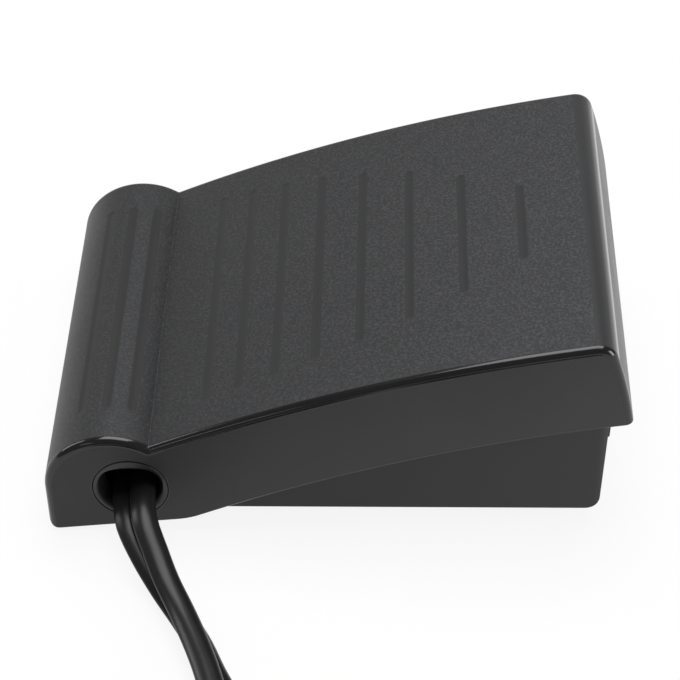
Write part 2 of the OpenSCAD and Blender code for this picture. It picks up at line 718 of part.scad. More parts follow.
module bushing_screws() {
    color(steel) from_heel() bushing_screw_places() translate([0, 0, foot_h + screw_head_h])
        mirror([0, 0, 1]) screw(screw_len);
}
module return_springs() {
    color(steel) from_heel() both_sides() translate([spring_x, spring_y, 0])
        coil_spring(spring_r, spring_wire_r, floor_top + 2, spring_seat_h, spring_turns);
}
module bump_stops() {
    color(rubber_grey) from_heel() both_sides() translate([stop_x, stop_y, stop_h - stop_head]) {
        cylinder(r = stop_r, h = stop_head);
        translate([0, 0, -stop_stem]) cylinder(r = stop_stem_r(), h = stop_stem + past);
    }
}

// Speed control
module plunger() {
    dome_z = plunger_top - plunger_dome_r;
    color([0.8, 0.79, 0.74]) from_heel() translate([plunger_x, 0, 0]) difference() {
        intersection() {
            translate([-plunger_w / 2, -plunger_w / 2, plunger_low])
                cube([plunger_w, plunger_w, plunger_len]);
            union() {
                translate([0, 0, dome_z]) sphere(r = plunger_dome_r);
                translate([-plunger_w, -plunger_w, 0]) cube([2 * plunger_w, 2 * plunger_w, dome_z + 4]);
            }
        }
        translate([0, 0, plunger_low - 1]) cylinder(r = plunger_bore_r, h = plunger_len - plunger_roof + 1);
        box([-plunger_w, -pot_slot_w / 2, tab_h - seat_clearance],
            [1.5 - plunger_w / 2, pot_slot_w / 2, tab_h + tab_t + seat_clearance]);
    }
}
module plunger_spring() {
    color(steel) from_heel() translate([plunger_x, 0, 0])
        coil_spring(plunger_spring_r, plunger_wire_r, floor_top, plunger_top - plunger_roof, plunger_turns);
}
module potentiometer() {
    low_slot = tab_h - plunger_stroke - 1;
    high_slot = tab_h + tab_t + 1;
    color([0.2, 0.2, 0.22]) from_heel() difference() {
        box([pot_x, -pot_w / 2, pot_h], [pot_x + pot_depth, pot_w / 2, pot_h + pot_len]);
        box([pot_x + 2, -pot_slot_w / 2, low_slot], [pot_x + pot_depth + 1, pot_slot_w / 2, high_slot]);
    }
}
module pot_slider() {
    color([0.9, 0.9, 0.88]) from_heel() box([pot_x + 3, touch_gap - pot_slot_w / 2, tab_h],
        [plunger_x - plunger_w / 2 + 1.2, pot_slot_w / 2 - touch_gap, tab_h + tab_t]);
}
module pot_pins() {
    color(brass) from_heel() for (y = [-2.5, 0, 2.5]) {
        box([pot_x - 5, y - 0.4, board_top], [pot_x - 4.2, y + 0.4, pot_h + pot_len - 8]);
        box([pot_x - 5, y - 0.4, pot_h + pot_len - 8], [pot_x, y + 0.4, pot_h + pot_len - 7.2]);
    }
}

// Circuit board and what stands on it
module circuit_board() {
    color(board_green) from_heel() difference() {
        box([board_x, -board_w / 2, board_top - board_t], [board_x + board_len, board_w / 2, board_top]);
        board_places() cylinder(r = screw_r + seat_clearance, h = far);
    }
}
module board_screws() {
    color(steel) from_heel() board_places() translate([0, 0, board_top]) screw(screw_len);
}
module terminal_places() {
    for (i = [0:terminal_wires - 1])
        translate([terminal_x, terminal_y + (i - (terminal_wires - 1) / 2) * terminal_step, 0]) children();
}
module terminal_block() {
    top = board_top + terminal_size[2];
    color([0.15, 0.42, 0.3]) from_heel() difference() {
        translate([terminal_x, terminal_y - terminal_size[1] / 2, board_top]) cube(terminal_size);
        terminal_places() {
            translate([-1, 0, wire_h]) rotate([0, 90, 0])
                cylinder(r = terminal_hole_r, h = terminal_size[0] - 2);
            translate([terminal_size[0] / 2, 0, top - 4]) cylinder(r = screw_r + 0.4, h = far);
        }
    }
}
module terminal_screws() {
    color(steel) from_heel() terminal_places()
        translate([terminal_size[0] / 2, 0, board_top + terminal_size[2] - 4]) difference() {
            cylinder(r = screw_r + 0.3, h = 2.5);
            translate([0, 0, 2.5]) cube([2 * screw_r + 2, 0.7, 1.6], center = true);
        }
}
module fuse() {
    color([0.85, 0.88, 0.9]) from_heel()
        translate([fuse_x, fuse_y - fuse_len / 2, fuse_h()]) rotate([-90, 0, 0])
        cylinder(r = fuse_r, h = fuse_len);
}
function fuse_h() = board_top + fuse_r + 1;
module fuse_clips() {
    out = fuse_r + past + clip_t;
    color(brass) from_heel() for (s = [-1, 1])
        translate([fuse_x, fuse_y + s * (fuse_len - clip_w) / 2, 0]) difference() {
            box([-out, -clip_w / 2, board_top], [out, clip_w / 2, fuse_h() + 1]);
            translate([0, -clip_w, fuse_h()]) rotate([-90, 0, 0]) cylinder(r = fuse_r + past, h = 2 * clip_w);
            box([-fuse_r - past, -clip_w, fuse_h()], [fuse_r + past, clip_w, far]);
        }
}
module choke_core() {
    color([0.75, 0.7, 0.25]) from_heel()
        translate([choke_x, choke_y, board_top + winding_wire + seat_clearance])
        difference() {
            cylinder(r = choke_r, h = choke_h);
            translate([0, 0, -1]) cylinder(r = choke_hole_r, h = choke_h + 2);
        }
}
module choke_winding() {
    deep = choke_r - choke_hole_r + 2 * seat_clearance;
    tall = choke_h + 2 * seat_clearance;
    color([0.72, 0.4, 0.2]) from_heel() translate([choke_x, choke_y, board_top])
        for (i = [0:winding_turns - 1]) rotate([0, 0, 360 * i / winding_turns])
            translate([choke_hole_r - seat_clearance, 0, winding_wire]) rotate([90, 0, 0])
                linear_extrude(winding_wire, center = true) difference() {
                    translate([-winding_wire, -winding_wire])
                        square([deep + 2 * winding_wire, tall + 2 * winding_wire]);
                    square([deep, tall]);
                }
}
module suppression_capacitor() {
    color([0.75, 0.62, 0.15]) from_heel()
        translate([capacitor_x, capacitor_y, board_top]) cube(capacitor_size);
}
module timing_capacitor() {
    color([0.55, 0.2, 0.12]) from_heel() translate([board_x + 14, 17, board_top]) cube([3, 7, 7]);
}
module heat_sink() {
    color([0.7, 0.71, 0.72]) from_heel() translate([sink_x, sink_y, board_top]) difference() {
        union() {
            cube(heat_sink_size);
            for (i = [0:3]) translate([2 + i * (heat_sink_size[0] - 5) / 3, heat_sink_size[1] - past, 0])
                cube([1, 3, heat_sink_size[2]]);
        }
        translate([heat_sink_size[0] / 2, -1, heat_sink_size[2] - 3]) rotate([-90, 0, 0])
            cylinder(r = screw_r + seat_clearance, h = heat_sink_size[1] + 1.5);
    }
}
module triac() {
    color([0.12, 0.12, 0.13]) from_heel()
        translate([sink_x + (heat_sink_size[0] - triac_size[0]) / 2, sink_y - triac_size[1], board_top])
        difference() {
            union() {
                translate([0, 0, 2]) cube([triac_size[0], triac_size[1], 6]);
                translate([0, triac_size[1] - 1.3, 8 - past]) cube([triac_size[0], 1.3, 5.5]);
                for (i = [1:3]) translate([i * triac_size[0] / 4 - 0.4, triac_size[1] - 2.4, 0])
                    cube([0.8, 0.6, 2 + past]);
            }
            translate([triac_size[0] / 2, 0, heat_sink_size[2] - 3]) rotate([-90, 0, 0])
                cylinder(r = screw_r + seat_clearance, h = triac_size[1] + 1);
        }
}
module triac_screw() {
    color(steel) from_heel()
        translate([sink_x + heat_sink_size[0] / 2, sink_y - 1.3, board_top + heat_sink_size[2] - 3])
            rotate([90, 0, 0]) screw(1.3 + heat_sink_size[1] - seat_clearance);
}
module resistors() {
    color([0.78, 0.68, 0.5]) from_heel() for (i = [0:3]) translate([board_x + 8.5 + 3.4 * i, resistor_y, 0]) {
        translate([0, 0, board_top + 1.8]) rotate([-90, 0, 0]) cylinder(r = 1.25, h = 6.5);
        for (y = [-1.5, 8]) box([-0.3, y - 0.3, board_top], [0.3, y + 0.3, board_top + 2.1]);
        translate([0, -1.5, board_top + 1.8]) rotate([-90, 0, 0]) cylinder(r = 0.3, h = 9.5);
    }
}

// Lead clamp and the leads inside
module cord_clamp() {
    low = stub_h + cord_t / 2;
    color(black_abs) from_heel() difference() {
        box([pivot_x - clamp_reach - clamp_boss_r, clamp_y - clamp_w / 2, low],
            [pivot_x + clamp_reach + clamp_boss_r, clamp_y + clamp_w / 2, low + clamp_t]);
        clamp_places() translate([0, 0, low - 1]) cylinder(r = screw_r + seat_clearance, h = clamp_t + 2);
    }
}
module clamp_screws() {
    color(steel) from_heel() clamp_places() translate([0, 0, stub_h + cord_t / 2 + clamp_t])
        screw(clamp_t + 3);
}
module flat_lead(width, thick) {
    square([width - thick, thick], center = true);
    for (s = [-1, 1]) translate([s * (width - thick) / 2, 0]) circle(d = thick);
}
module lead_stubs() {
    color(cord_black) from_heel() for (s = [-1, 1]) translate([pivot_x + s * stub_side, stub_in, stub_h])
        rotate([90, 0, 0]) linear_extrude(stub_in - stub_out) flat_lead(cord_w, cord_t);
}
module lead_wires() {
    color([0.45, 0.25, 0.15]) from_heel() for (i = [0:terminal_wires - 1]) {
        y = terminal_y + ((terminal_wires - 1) / 2 - i) * terminal_step;
        route = concat(wire_routes[i], [[terminal_x - 2, y, wire_h], [terminal_x + 2, y, wire_h]]);
        tube(route, 2 * wire_r, 2 * wire_r, 8);
    }
}

// Leads outside, their coils, ties, plug and connector
module lead_coil(at) {
    thick = cord_w + 2 * coil_room;
    tall = coil_layers * (cord_t + coil_room);
    translate([at[0], at[1], tie_t + coil_room]) rotate_extrude() translate([coil_r - thick, 0])
        square([2 * thick, tall]);
}
module coil_tie(at, angle) {
    thick = cord_w + 2 * coil_room;
    tall = coil_layers * (cord_t + coil_room);
    width = 2 * thick + 4 * coil_room;
    translate([at[0], at[1], 0]) rotate([0, 0, angle]) translate([coil_r, 0, coil_room / 2])
        rotate([90, 0, 0])
        linear_extrude(tie_w, center = true) difference() {
            translate([-width / 2 - tie_t - 0.6, 0])
                square([width + 2 * tie_t + 1.2, tall + 2 * tie_t + 2 * coil_room]);
            translate([-width / 2 - 0.6, tie_t]) square([width + 1.2, tall + 2 * coil_room]);
        }
}
module mains_lead() { color(cord_black) from_heel() tube(mains_route, cord_w, cord_t, 10); }
module mains_coil() { color(cord_black) from_heel() lead_coil(mains_coil_at); }
module mains_tail() { color(cord_black) from_heel() tube(mains_tail_route, cord_w, cord_t, 10); }
module mains_tie() { color(rubber_grey) from_heel() coil_tie(mains_coil_at, mains_tie_angle); }
module machine_lead() { color(cord_black) from_heel() tube(machine_route, cord_w, cord_t, 10); }
module machine_coil() { color(cord_black) from_heel() lead_coil(machine_coil_at); }
module machine_tail() { color(cord_black) from_heel() tube(machine_tail_route, cord_w, cord_t, 10); }
module machine_tie() { color(rubber_grey) from_heel() coil_tie(machine_coil_at, machine_tie_angle); }
// Places a plug with its cord end at a tail's end, pointing along -y
module at_end(route, turn, high) {
    last = route[len(route) - 1];
    translate([last[0], last[1], high]) rotate([0, 0, turn]) children();
}
module relief(length) { rotate([90, 0, 0]) cylinder(r1 = relief_r[0], r2 = relief_r[1], h = length); }
module mains_plug() {
    color(cord_black) from_heel() at_end(mains_tail_route, plug_turn, plug_h) {
        relief(relief_len);
        translate([0, -relief_len + 1, -plug_t / 2]) linear_extrude(plug_t) polygon([[-7, 0], [7, 0],
            [plug_w / 2, -plug_len / 2], [plug_w / 2 - 3, -plug_len], [3 - plug_w / 2, -plug_len],
            [-plug_w / 2, -plug_len / 2]]);
    }
}
module plug_pins() {
    color(steel) from_heel() at_end(mains_tail_route, plug_turn, plug_h) for (s = [-1, 1])
        translate([s * plug_pin_pitch / 2, 1 - relief_len - plug_len, 0]) rotate([90, 0, 0])
            cylinder(r = plug_pin_r, h = plug_pin_len);
}
module machine_connector() {
    color(cord_black) from_heel() at_end(machine_tail_route, connector_turn, connector_h) difference() {
        union() {
            relief(relief_len);
            translate([-connector_size[0] / 2, -relief_len + 1 - connector_size[1], -connector_size[2] / 2])
                cube(connector_size);
        }
        for (s = [-1, 1]) translate([s * contact_pitch / 2, -relief_len - connector_size[1], 0])
            rotate([-90, 0, 0]) cylinder(r = contact_hole_r, h = connector_size[1] / 2);
    }
}
module connector_contacts() {
    deep = connector_size[1] / 2 - 2;
    color(brass) from_heel() at_end(machine_tail_route, connector_turn, connector_h) for (s = [-1, 1])
        translate([s * contact_pitch / 2, -relief_len - connector_size[1] + 2, 0]) rotate([-90, 0, 0])
        difference() {
            cylinder(r = contact_hole_r - past, h = deep);
            translate([0, 0, -1]) cylinder(r = contact_hole_r - 0.6, h = deep + 2);
        }
}

treadle_cover();
pusher_pad();
base_tray();
rubber_feet();
cord_bushing();
pivot_bushing();
bushing_screws();
return_springs();
bump_stops();
plunger();
plunger_spring();
potentiometer();
pot_slider();
pot_pins();
circuit_board();
board_screws();
terminal_block();
terminal_screws();
fuse();
fuse_clips();
choke_core();
choke_winding();
suppression_capacitor();
timing_capacitor();
triac();
heat_sink();
triac_screw();
resistors();
cord_clamp();
clamp_screws();
lead_stubs();
lead_wires();
mains_lead();
mains_coil();
mains_tail();
mains_tie();
mains_plug();
plug_pins();
machine_lead();
machine_coil();
machine_tail();
machine_tie();
machine_connector();
connector_contacts();
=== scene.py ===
import math

import bpy
import numpy as np
from mathutils import Matrix, Vector
from mathutils.geometry import delaunay_2d_cdt


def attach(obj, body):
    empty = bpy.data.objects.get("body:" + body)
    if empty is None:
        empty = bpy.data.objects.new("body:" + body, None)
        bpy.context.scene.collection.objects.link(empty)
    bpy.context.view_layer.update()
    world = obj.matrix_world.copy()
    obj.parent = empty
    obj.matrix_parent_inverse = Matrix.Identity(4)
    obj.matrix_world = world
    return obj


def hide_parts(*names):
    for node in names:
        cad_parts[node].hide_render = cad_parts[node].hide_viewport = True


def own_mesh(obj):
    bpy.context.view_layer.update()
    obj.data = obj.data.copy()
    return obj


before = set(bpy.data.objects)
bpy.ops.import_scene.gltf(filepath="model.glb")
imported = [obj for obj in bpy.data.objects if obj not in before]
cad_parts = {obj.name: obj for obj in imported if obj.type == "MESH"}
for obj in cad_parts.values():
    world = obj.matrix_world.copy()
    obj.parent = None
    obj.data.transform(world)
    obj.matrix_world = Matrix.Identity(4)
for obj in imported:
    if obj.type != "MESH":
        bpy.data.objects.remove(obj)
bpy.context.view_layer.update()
scene = bpy.context.scene

# Sizes in millimetres. x runs from the heel, y across the pedal, z up from the floor.
LENGTH = 139.8
WIDTH = 100.0
HALF = WIDTH / 2
WALL = 2.4

# The tread plate is an arc, given by a point near the barrel and the slope there
PLATE_R = 434.0
PLATE_FOOT = np.array([26.0, 27.6])
PLATE_SLOPE = math.radians(24.4)
PLATE_C = PLATE_FOOT + PLATE_R * np.array([math.sin(PLATE_SLOPE), -math.cos(PLATE_SLOPE)])
# The skirt's lower edge follows the plate at this depth
SKIRT = 24.75
SKIRT_R = PLATE_R - SKIRT

# Heel barrel, which goes straight down from its widest place
BARREL_R = 16.5
BARREL_C = np.array([16.2, 13.9])
HEEL_X = BARREL_C[0] - BARREL_R
# The heel's lower edge starts at this height and rises at this slope to a rounded corner with the skirt
HEEL_GAP = 0.25
HEEL_RISE = math.tan(math.radians(6.4))
CORNER = 2.6

# Roundings of the side edges, the toe, the lower lip, the heel's lower corner and the valley
EDGE_R = 1.8
TOE_R = 4.5
LIP_R = 0.5
HEEL_R = 2.8
VALLEY_R = 0.3

# The toe face bulges a little: an arc that ends at the skirt's lower corner. The top share of it is smooth.
FACE_R = 140.0
FACE_LEAN = math.radians(9.4)
FACE_X = LENGTH - 0.3
FACE_SMOOTH = 0.08

# The treadle's pivot, its bearing bores and the bushings in them
PIVOT = np.array([20.5, 14.5])
BORE_R = 9.13
BORE_RIM = 0.3
BOSS_LEN = 3.0
BOSS_WALL = 1.8
BUSH_R = 9.05

# Grooves: width, depth, and the width of the soft edge beside them
GROOVE_W = 2.4
GROOVE_D = 0.12
GROOVE_EDGE = 0.35
# On the plate they are counted from the toe: the first one's distance from it, then the pitch, which shrinks
# by a ratio. Half the length grows towards the reach: the share that is lacking fades by a ratio.
GROOVE_COUNT = 8
GROOVE_FIRST = 25.3
GROOVE_PITCH = 14.3
GROOVE_SHRINK = 0.905
GROOVE_REACH = 41.0
GROOVE_LACK = 0.65
GROOVE_FADE = 0.68
# On the barrel: the first one's angle and the step in degrees, and half the length
BARREL_GROOVES = 3
BARREL_GROOVE_ANGLE = 73
BARREL_GROOVE_STEP = 22
BARREL_GROOVE_HALF = 38.7

# Return springs: place, mean radius, wire's radius, lower end and upper seat. The post above a spring reaches
# past its mean radius by SPRING_RIM, and has a pilot that centres it.
SPRING_AT = (100.0, 26.0)
SPRING_R = 4.6
SPRING_WIRE = 0.5
SPRING_LOW = 9.1
SPRING_SEAT = 36.0
SPRING_RIM = 1.5
PILOT_LEN = 5.0
# The speed plunger stands in the middle at this x
PLUNGER_X = 86.5


def metres(points):
    """Heel-frame millimetres to the part's frame in metres."""
    return (np.asarray(points, float) - [LENGTH / 2, 0, 0]) / 1000


def add(name, data):
    """A new object in the scene."""
    ob = bpy.data.objects.new(name, data)
    scene.collection.objects.link(ob)
    return ob


# Materials
def put(tree, kind, **values):
    """A new node in the tree, with the given socket values."""
    node = tree.nodes.new("ShaderNode" + kind)
    for socket, value in values.items():
        node.inputs[socket.replace("_", " ")].default_value = value
    return node


def ramp(tree, source, low, high, to_low, to_high):
    """Turns a value between low and high into one between to_low and to_high."""
    node = put(tree, "MapRange", From_Min=low, From_Max=high, To_Min=to_low, To_Max=to_high)
    tree.links.new(source, node.inputs["Value"])
    return node.outputs["Result"]


def combine(tree, operation, first, second):
    """The result of a maths operation on two values. Each is a number or a socket."""
    node = tree.nodes.new("ShaderNodeMath")
    node.operation = operation
    for socket, value in zip(node.inputs, (first, second)):
        if isinstance(value, float):
            socket.default_value = value
        else:
            tree.links.new(value, socket)
    return node.outputs[0]


def blend(tree, share, first, second):
    """Mixes two colours. Each is a colour or a socket."""
    node = tree.nodes.new("ShaderNodeMix")
    node.data_type = "RGBA"
    tree.links.new(share, node.inputs[0])
    for socket, value in ((node.inputs[6], first), (node.inputs[7], second)):
        if isinstance(value, tuple):
            socket.default_value = (*value, 1)
        else:
            tree.links.new(value, socket)
    return node.outputs[2]


def noise(tree, place, size, **values):
    """Noise whose features have a size in mm."""
    node = put(tree, "TexNoise", Scale=1000 / size, **values)
    tree.links.new(place.outputs["Vector"], node.inputs["Vector"])
    return node.outputs["Fac"]


def shade(colour, by):
    """A colour made darker or lighter."""
    return tuple(min(1.0, c * by) for c in colour)


# The range that most of the broad noise lies in
PATCHES = (0.3, 0.7)


def finish(name, colour, rough, grain=0.5, relief=0.0, speck=0.0, patch=18.0, tint=0.1, spread=0.04,
           drawn=(1, 1, 1), edge=0.0, peaks=(0.55, 0.67), worn=0.0, sockets=None, graded=None):
    """A material with noise in its colour, roughness and relief.

    In mm: grain and relief are the fine grain's size and height, patch is the size of the broad patches, and
    edge the rounding that sharp edges show. speck lightens the grain's peaks, and peaks is the range of the
    noise that they lie in. tint and spread are how far colour and roughness vary from patch to patch. drawn
    stretches the grain, as on brushed metal. worn is the share of the grain that is lost at the heel. graded
    sockets run from one value to another between two places along x, in mm from the pedal's middle.
    """
    made = bpy.data.materials.new(name)
    made.use_nodes = True
    tree = made.node_tree
    link = tree.links.new
    shader = tree.nodes["Principled BSDF"]
    for socket, value in (sockets or {}).items():
        shader.inputs[socket].default_value = value
    place = put(tree, "TexCoord").outputs["Object"]
    stretched = put(tree, "Mapping", Scale=drawn)
    link(place, stretched.inputs["Vector"])
    fine = noise(tree, stretched, grain, Detail=2.5, Roughness=0.62)
    broad = noise(tree, stretched, patch, Detail=3.0)
    apart = put(tree, "SeparateXYZ")
    link(place, apart.inputs[0])
    x = apart.outputs["X"]
    kept = ramp(tree, x, -LENGTH / 2000, LENGTH / 2000, 1 - worn, 1)

    look = blend(tree, ramp(tree, broad, *PATCHES, 0, 1), shade(colour, 1 - tint), shade(colour, 1 + tint))
    if speck:
        specks = combine(tree, "MULTIPLY", ramp(tree, fine, *peaks, 0, 1), kept)
        look = blend(tree, specks, look, shade(colour, 1 + speck))
    link(look, shader.inputs["Base Color"])
    link(ramp(tree, broad, *PATCHES, rough - spread, rough + spread), shader.inputs["Roughness"])

    bump = put(tree, "Bump", Strength=1.0, Distance=relief / 1000)
    link(fine, bump.inputs["Height"])
    link(bump.outputs["Normal"], shader.inputs["Normal"])
    if worn:
        link(kept, bump.inputs["Strength"])
    if edge:
        bevel = put(tree, "Bevel", Radius=edge / 1000)
        link(bevel.outputs["Normal"], bump.inputs["Normal"])
    for socket, (start, end, first, last) in (graded or {}).items():
        link(ramp(tree, x, start / 1000, end / 1000, first, last), shader.inputs[socket])
    return made


METAL = {"Metallic": 1.0}
COOL = {"Specular Tint": (0.95, 0.97, 1.0, 1)}
ABS = (0.0125, 0.0125, 0.0132)

# The treadle's moulded plastic: grained on top, satin on the sides, polished on the edges
tread = finish("abs_tread", shade(ABS, 0.5), 0.5, grain=0.6, relief=0.14, speck=5.4, patch=30,
               peaks=(0.46, 0.64), worn=0.5, sockets=COOL)
toe = finish("abs_toe", shade(ABS, 0.5), 0.38, grain=0.6, relief=0.1, speck=5.4, patch=30, peaks=(0.46, 0.64))
# The toe's rounding turns from satin to polished over the upper part of its bend
toe_round = finish("abs_toe_round", shade(ABS, 0.8), 0.14, grain=2.0, relief=0.004, patch=14, sockets=COOL,
                   graded={"Roughness": (59.8, 62.3, 0.46, 0.14)})
# The sides reflect more towards the toe: painted light, a gradient that lightens them from heel to toe
satin = finish("abs_satin", ABS, 0.46, grain=0.5, relief=0.018, speck=0.8, patch=25, peaks=(0.6, 0.74),
               graded={"Specular IOR Level": (-50, 66, 0.4, 0.6)})
# The grooves reflect less towards the toe: painted shade that darkens them there and lets them fade at the
# heel
groove = finish("abs_groove", shade(ABS, 0.8), 0.44, grain=0.5, relief=0.006, patch=25, sockets=COOL,
                graded={"Specular IOR Level": (-60, 40, 0.47, 0.41)})
# A darker, less reflective copy of the groove material for the barrel's grooves: painted shade
barrel_groove = finish("abs_barrel_groove", shade(ABS, 0.7), 0.42, grain=0.5, relief=0.006, patch=25,
                       sockets={"Specular IOR Level": 0.41})
polished = finish("abs_polished", shade(ABS, 0.6), 0.14, grain=2.0, relief=0.004, patch=14, spread=0.03)

# The tray, the bushings, the leads and the feet
# The tray reflects more towards the toe: painted light, a gradient that lightens it from the middle to the
# toe
base_abs = finish("abs_base", ABS, 0.44, grain=0.5, relief=0.01, speck=0.15, patch=25, edge=0.5,
                  graded={"Specular IOR Level": (-30, 66, 0.32, 0.45)})
bush_abs = finish("abs_bushing", shade(ABS, 0.75), 0.34, grain=0.5, relief=0.006, patch=9)
cord_pvc = finish("pvc_cord", (0.0112, 0.0112, 0.0114), 0.3, grain=1.1, relief=0.006, patch=22, spread=0.03,
                  sockets={"Specular IOR Level": 0.32})
plug_pvc = finish("pvc_plug", (0.009, 0.009, 0.0095), 0.36, grain=0.7, relief=0.012, speck=0.2, patch=12,
                  edge=0.6)
rubber = finish("rubber", (0.012, 0.012, 0.0118), 0.75, grain=0.4, relief=0.02, speck=0.4, edge=0.3)

# Metals
steel = finish("steel", (0.56, 0.56, 0.58), 0.3, grain=0.3, relief=0.004, patch=4, spread=0.08, edge=0.15,
               sockets=METAL)
spring_steel = finish("spring_steel", (0.5, 0.5, 0.52), 0.26, grain=0.2, relief=0.003, patch=5, spread=0.06,
                      sockets=METAL)
nickel = finish("nickel", (0.7, 0.68, 0.64), 0.16, grain=0.4, relief=0.003, patch=6, drawn=(1, 1, 0.1),
                edge=0.2, sockets=METAL)
brass = finish("brass", (0.7, 0.5, 0.21), 0.28, grain=0.3, relief=0.004, patch=5, spread=0.07, edge=0.15,
               sockets=METAL)
copper = finish("copper", (0.6, 0.25, 0.1), 0.3, grain=0.3, relief=0.004, patch=3, tint=0.2,
                sockets={"Metallic": 0.8, "Coat Weight": 0.4})
aluminium = finish("aluminium", (0.66, 0.67, 0.68), 0.36, grain=0.3, relief=0.006, patch=6, spread=0.08,
                   drawn=(1, 1, 0.06), edge=0.2, sockets=METAL)

# The speed control inside
acetal = finish("acetal", (0.74, 0.72, 0.66), 0.38, grain=0.6, relief=0.006, patch=8, tint=0.04, edge=0.3)
pot_black = finish("pot_black", (0.025, 0.025, 0.028), 0.4, grain=0.4, relief=0.01, speck=0.3, patch=6,
                   edge=0.2)
board_green = finish("board_green", (0.02, 0.12, 0.055), 0.36, grain=0.9, relief=0.006, patch=3.5, tint=0.3,
                     sockets={"Coat Weight": 0.5})
nylon_green = finish("nylon_green", (0.04, 0.25, 0.13), 0.4, grain=0.5, relief=0.008, patch=6, edge=0.3)
glass = finish("fuse_glass", (0.9, 0.93, 0.94), 0.05, grain=2.0, relief=0.002, patch=8, tint=0.03,
               spread=0.02, sockets={"Transmission Weight": 0.9})
ferrite = finish("ferrite", (0.58, 0.48, 0.09), 0.45, grain=0.4, relief=0.015, speck=0.2, patch=5, tint=0.15)
film_yellow = finish("film_yellow", (0.6, 0.43, 0.06), 0.42, grain=0.8, relief=0.008, patch=7, edge=0.5)
dipped_red = finish("dipped_red", (0.34, 0.06, 0.03), 0.25, grain=1.5, relief=0.03, patch=4, tint=0.2,
                    sockets={"Coat Weight": 0.4})
epoxy = finish("epoxy", (0.02, 0.02, 0.022), 0.45, grain=0.25, relief=0.01, speck=0.4, patch=4, edge=0.2)
lacquer = finish("lacquer", (0.52, 0.4, 0.23), 0.3, grain=0.8, relief=0.008, patch=2.5, tint=0.2,
                 sockets={"Coat Weight": 0.3})
insulation = finish("insulation", (0.15, 0.055, 0.028), 0.4, grain=0.8, relief=0.006, patch=6)


# Points and meshes. Side-view points are pairs of x and z.
def unit(vectors):
    """Vectors brought to a length of 1."""
    return vectors / np.linalg.norm(vectors, axis=-1, keepdims=True)


def polar(centre, r, a):
    """2D points at a distance and an angle from a centre."""
    return np.stack([centre[0] + r * np.cos(a), centre[1] + r * np.sin(a)], -1)


def circle(count):
    """Angles of points all round a circle."""
    return np.linspace(0, 2 * math.pi, count + 1)[:-1]


def outward(ring):
    """Normals of a closed ring of 2D points that runs anticlockwise."""
    along = np.roll(ring, -1, 0) - np.roll(ring, 1, 0)
    return unit(np.stack([along[:, 1], -along[:, 0]], -1))


def at_y(points, y):
    """Side-view points, or side-view normals, with one y."""
    return np.stack([points[:, 0], np.full(len(points), y), points[:, 1]], -1)


def across(points, y):
    """Side-view points at every y of a list: a grid of points."""
    return np.stack([at_y(points, value) for value in y], 1)


def carry(section, side, up):
    """A 2D section in the plane of each pair of directions."""
    return section[:, 0:1] * side[:, None] + section[:, 1:2] * up[:, None]


def inside(p, ring):
    """Whether a 2D point lies in a closed ring of points."""
    x0, y0 = ring[:, 0], ring[:, 1]
    x1, y1 = np.roll(x0, -1), np.roll(y0, -1)
    passed = (y0 > p[1]) != (y1 > p[1])
    with np.errstate(divide="ignore", invalid="ignore"):
        at = x0 + (p[1] - y0) * (x1 - x0) / (y1 - y0)
    return np.sum(passed & (p[0] < at)) % 2 == 1


class Shell:
    """Collects grids and flat faces into one mesh, each with its own normals and material slot."""

    def __init__(self):
        self.points = []
        self.normals = []
        self.faces = []
        self.slots = []

    def faces_in(self, face):
        """Whether a face's corners run against its normal. None where they span no area."""
        a, b, c = (self.points[i] for i in face[:3])
        out = np.cross(b - a, c - a)
        return out @ self.normals[face[0]] < 0 if np.linalg.norm(out) > 1e-12 else None

    def grid(self, points, normals, slot, close=False):
        """Rows of points joined by four-sided faces. slot is one number, or a number for each face."""
        rows, columns = np.shape(points)[:2]
        start = len(self.points)
        self.points += list(np.reshape(points, (-1, 3)))
        self.normals += list(np.reshape(normals, (-1, 3)))
        faces = []
        for i in range(rows - 1):
            here, after = start + i * columns, start + (i + 1) * columns
            for j in range(columns - 1 + close):
                k = (j + 1) % columns
                faces.append([here + j, here + k, after + k, after + j])
        if next((turned for turned in map(self.faces_in, faces) if turned is not None), False):
            faces = [face[::-1] for face in faces]
        self.faces += faces
        self.slots += list(np.ravel(slot)) if np.ndim(slot) else [slot] * len(faces)

    def cap(self, ring, normal, slot):
        """One face that closes a ring of points."""
        face = [len(self.points) + i for i in range(len(ring))]
        self.points += list(ring)
        self.normals += [np.array(normal, float)] * len(ring)
        self.faces.append(face[::-1] if self.faces_in(face) else face)
        self.slots.append(slot)

    def side_face(self, outline, hole, y, facing, slot):
        """A face square to y with a hole, both of side-view points. facing is 1 or -1."""
        corners, edges = [], []
        for ring in (outline, hole):
            first = len(corners)
            corners += [Vector(p) for p in ring]
            edges += [(first + i, first + (i + 1) % len(ring)) for i in range(len(ring))]
        flat, _, triangles = delaunay_2d_cdt(corners, edges, [], 2, 1e-7)[:3]
        start = len(self.points)
        self.points += list(at_y(np.array(flat), y))
        self.normals += [np.array([0.0, facing, 0.0])] * len(flat)
        for triangle in triangles:
            middle = np.mean([flat[i] for i in triangle], axis=0)
            if inside(middle, outline) and not inside(middle, hole):
                face = [start + i for i in triangle]
                self.faces.append(face[::-1] if self.faces_in(face) else face)
                self.slots.append(slot)

    def object(self, name, materials):
        """The mesh as an object, with one material for each slot."""
        data = bpy.data.meshes.new(name)
        data.from_pydata([tuple(p) for p in metres(self.points)], [], self.faces)
        for material in materials:
            data.materials.append(material)
        data.polygons.foreach_set("material_index", np.array(self.slots, np.int32))
        data.polygons.foreach_set("use_smooth", np.ones(len(data.polygons), bool))
        data.normals_split_custom_set_from_vertices([tuple(n) for n in self.normals])
        data.update()
        return add(name, data)


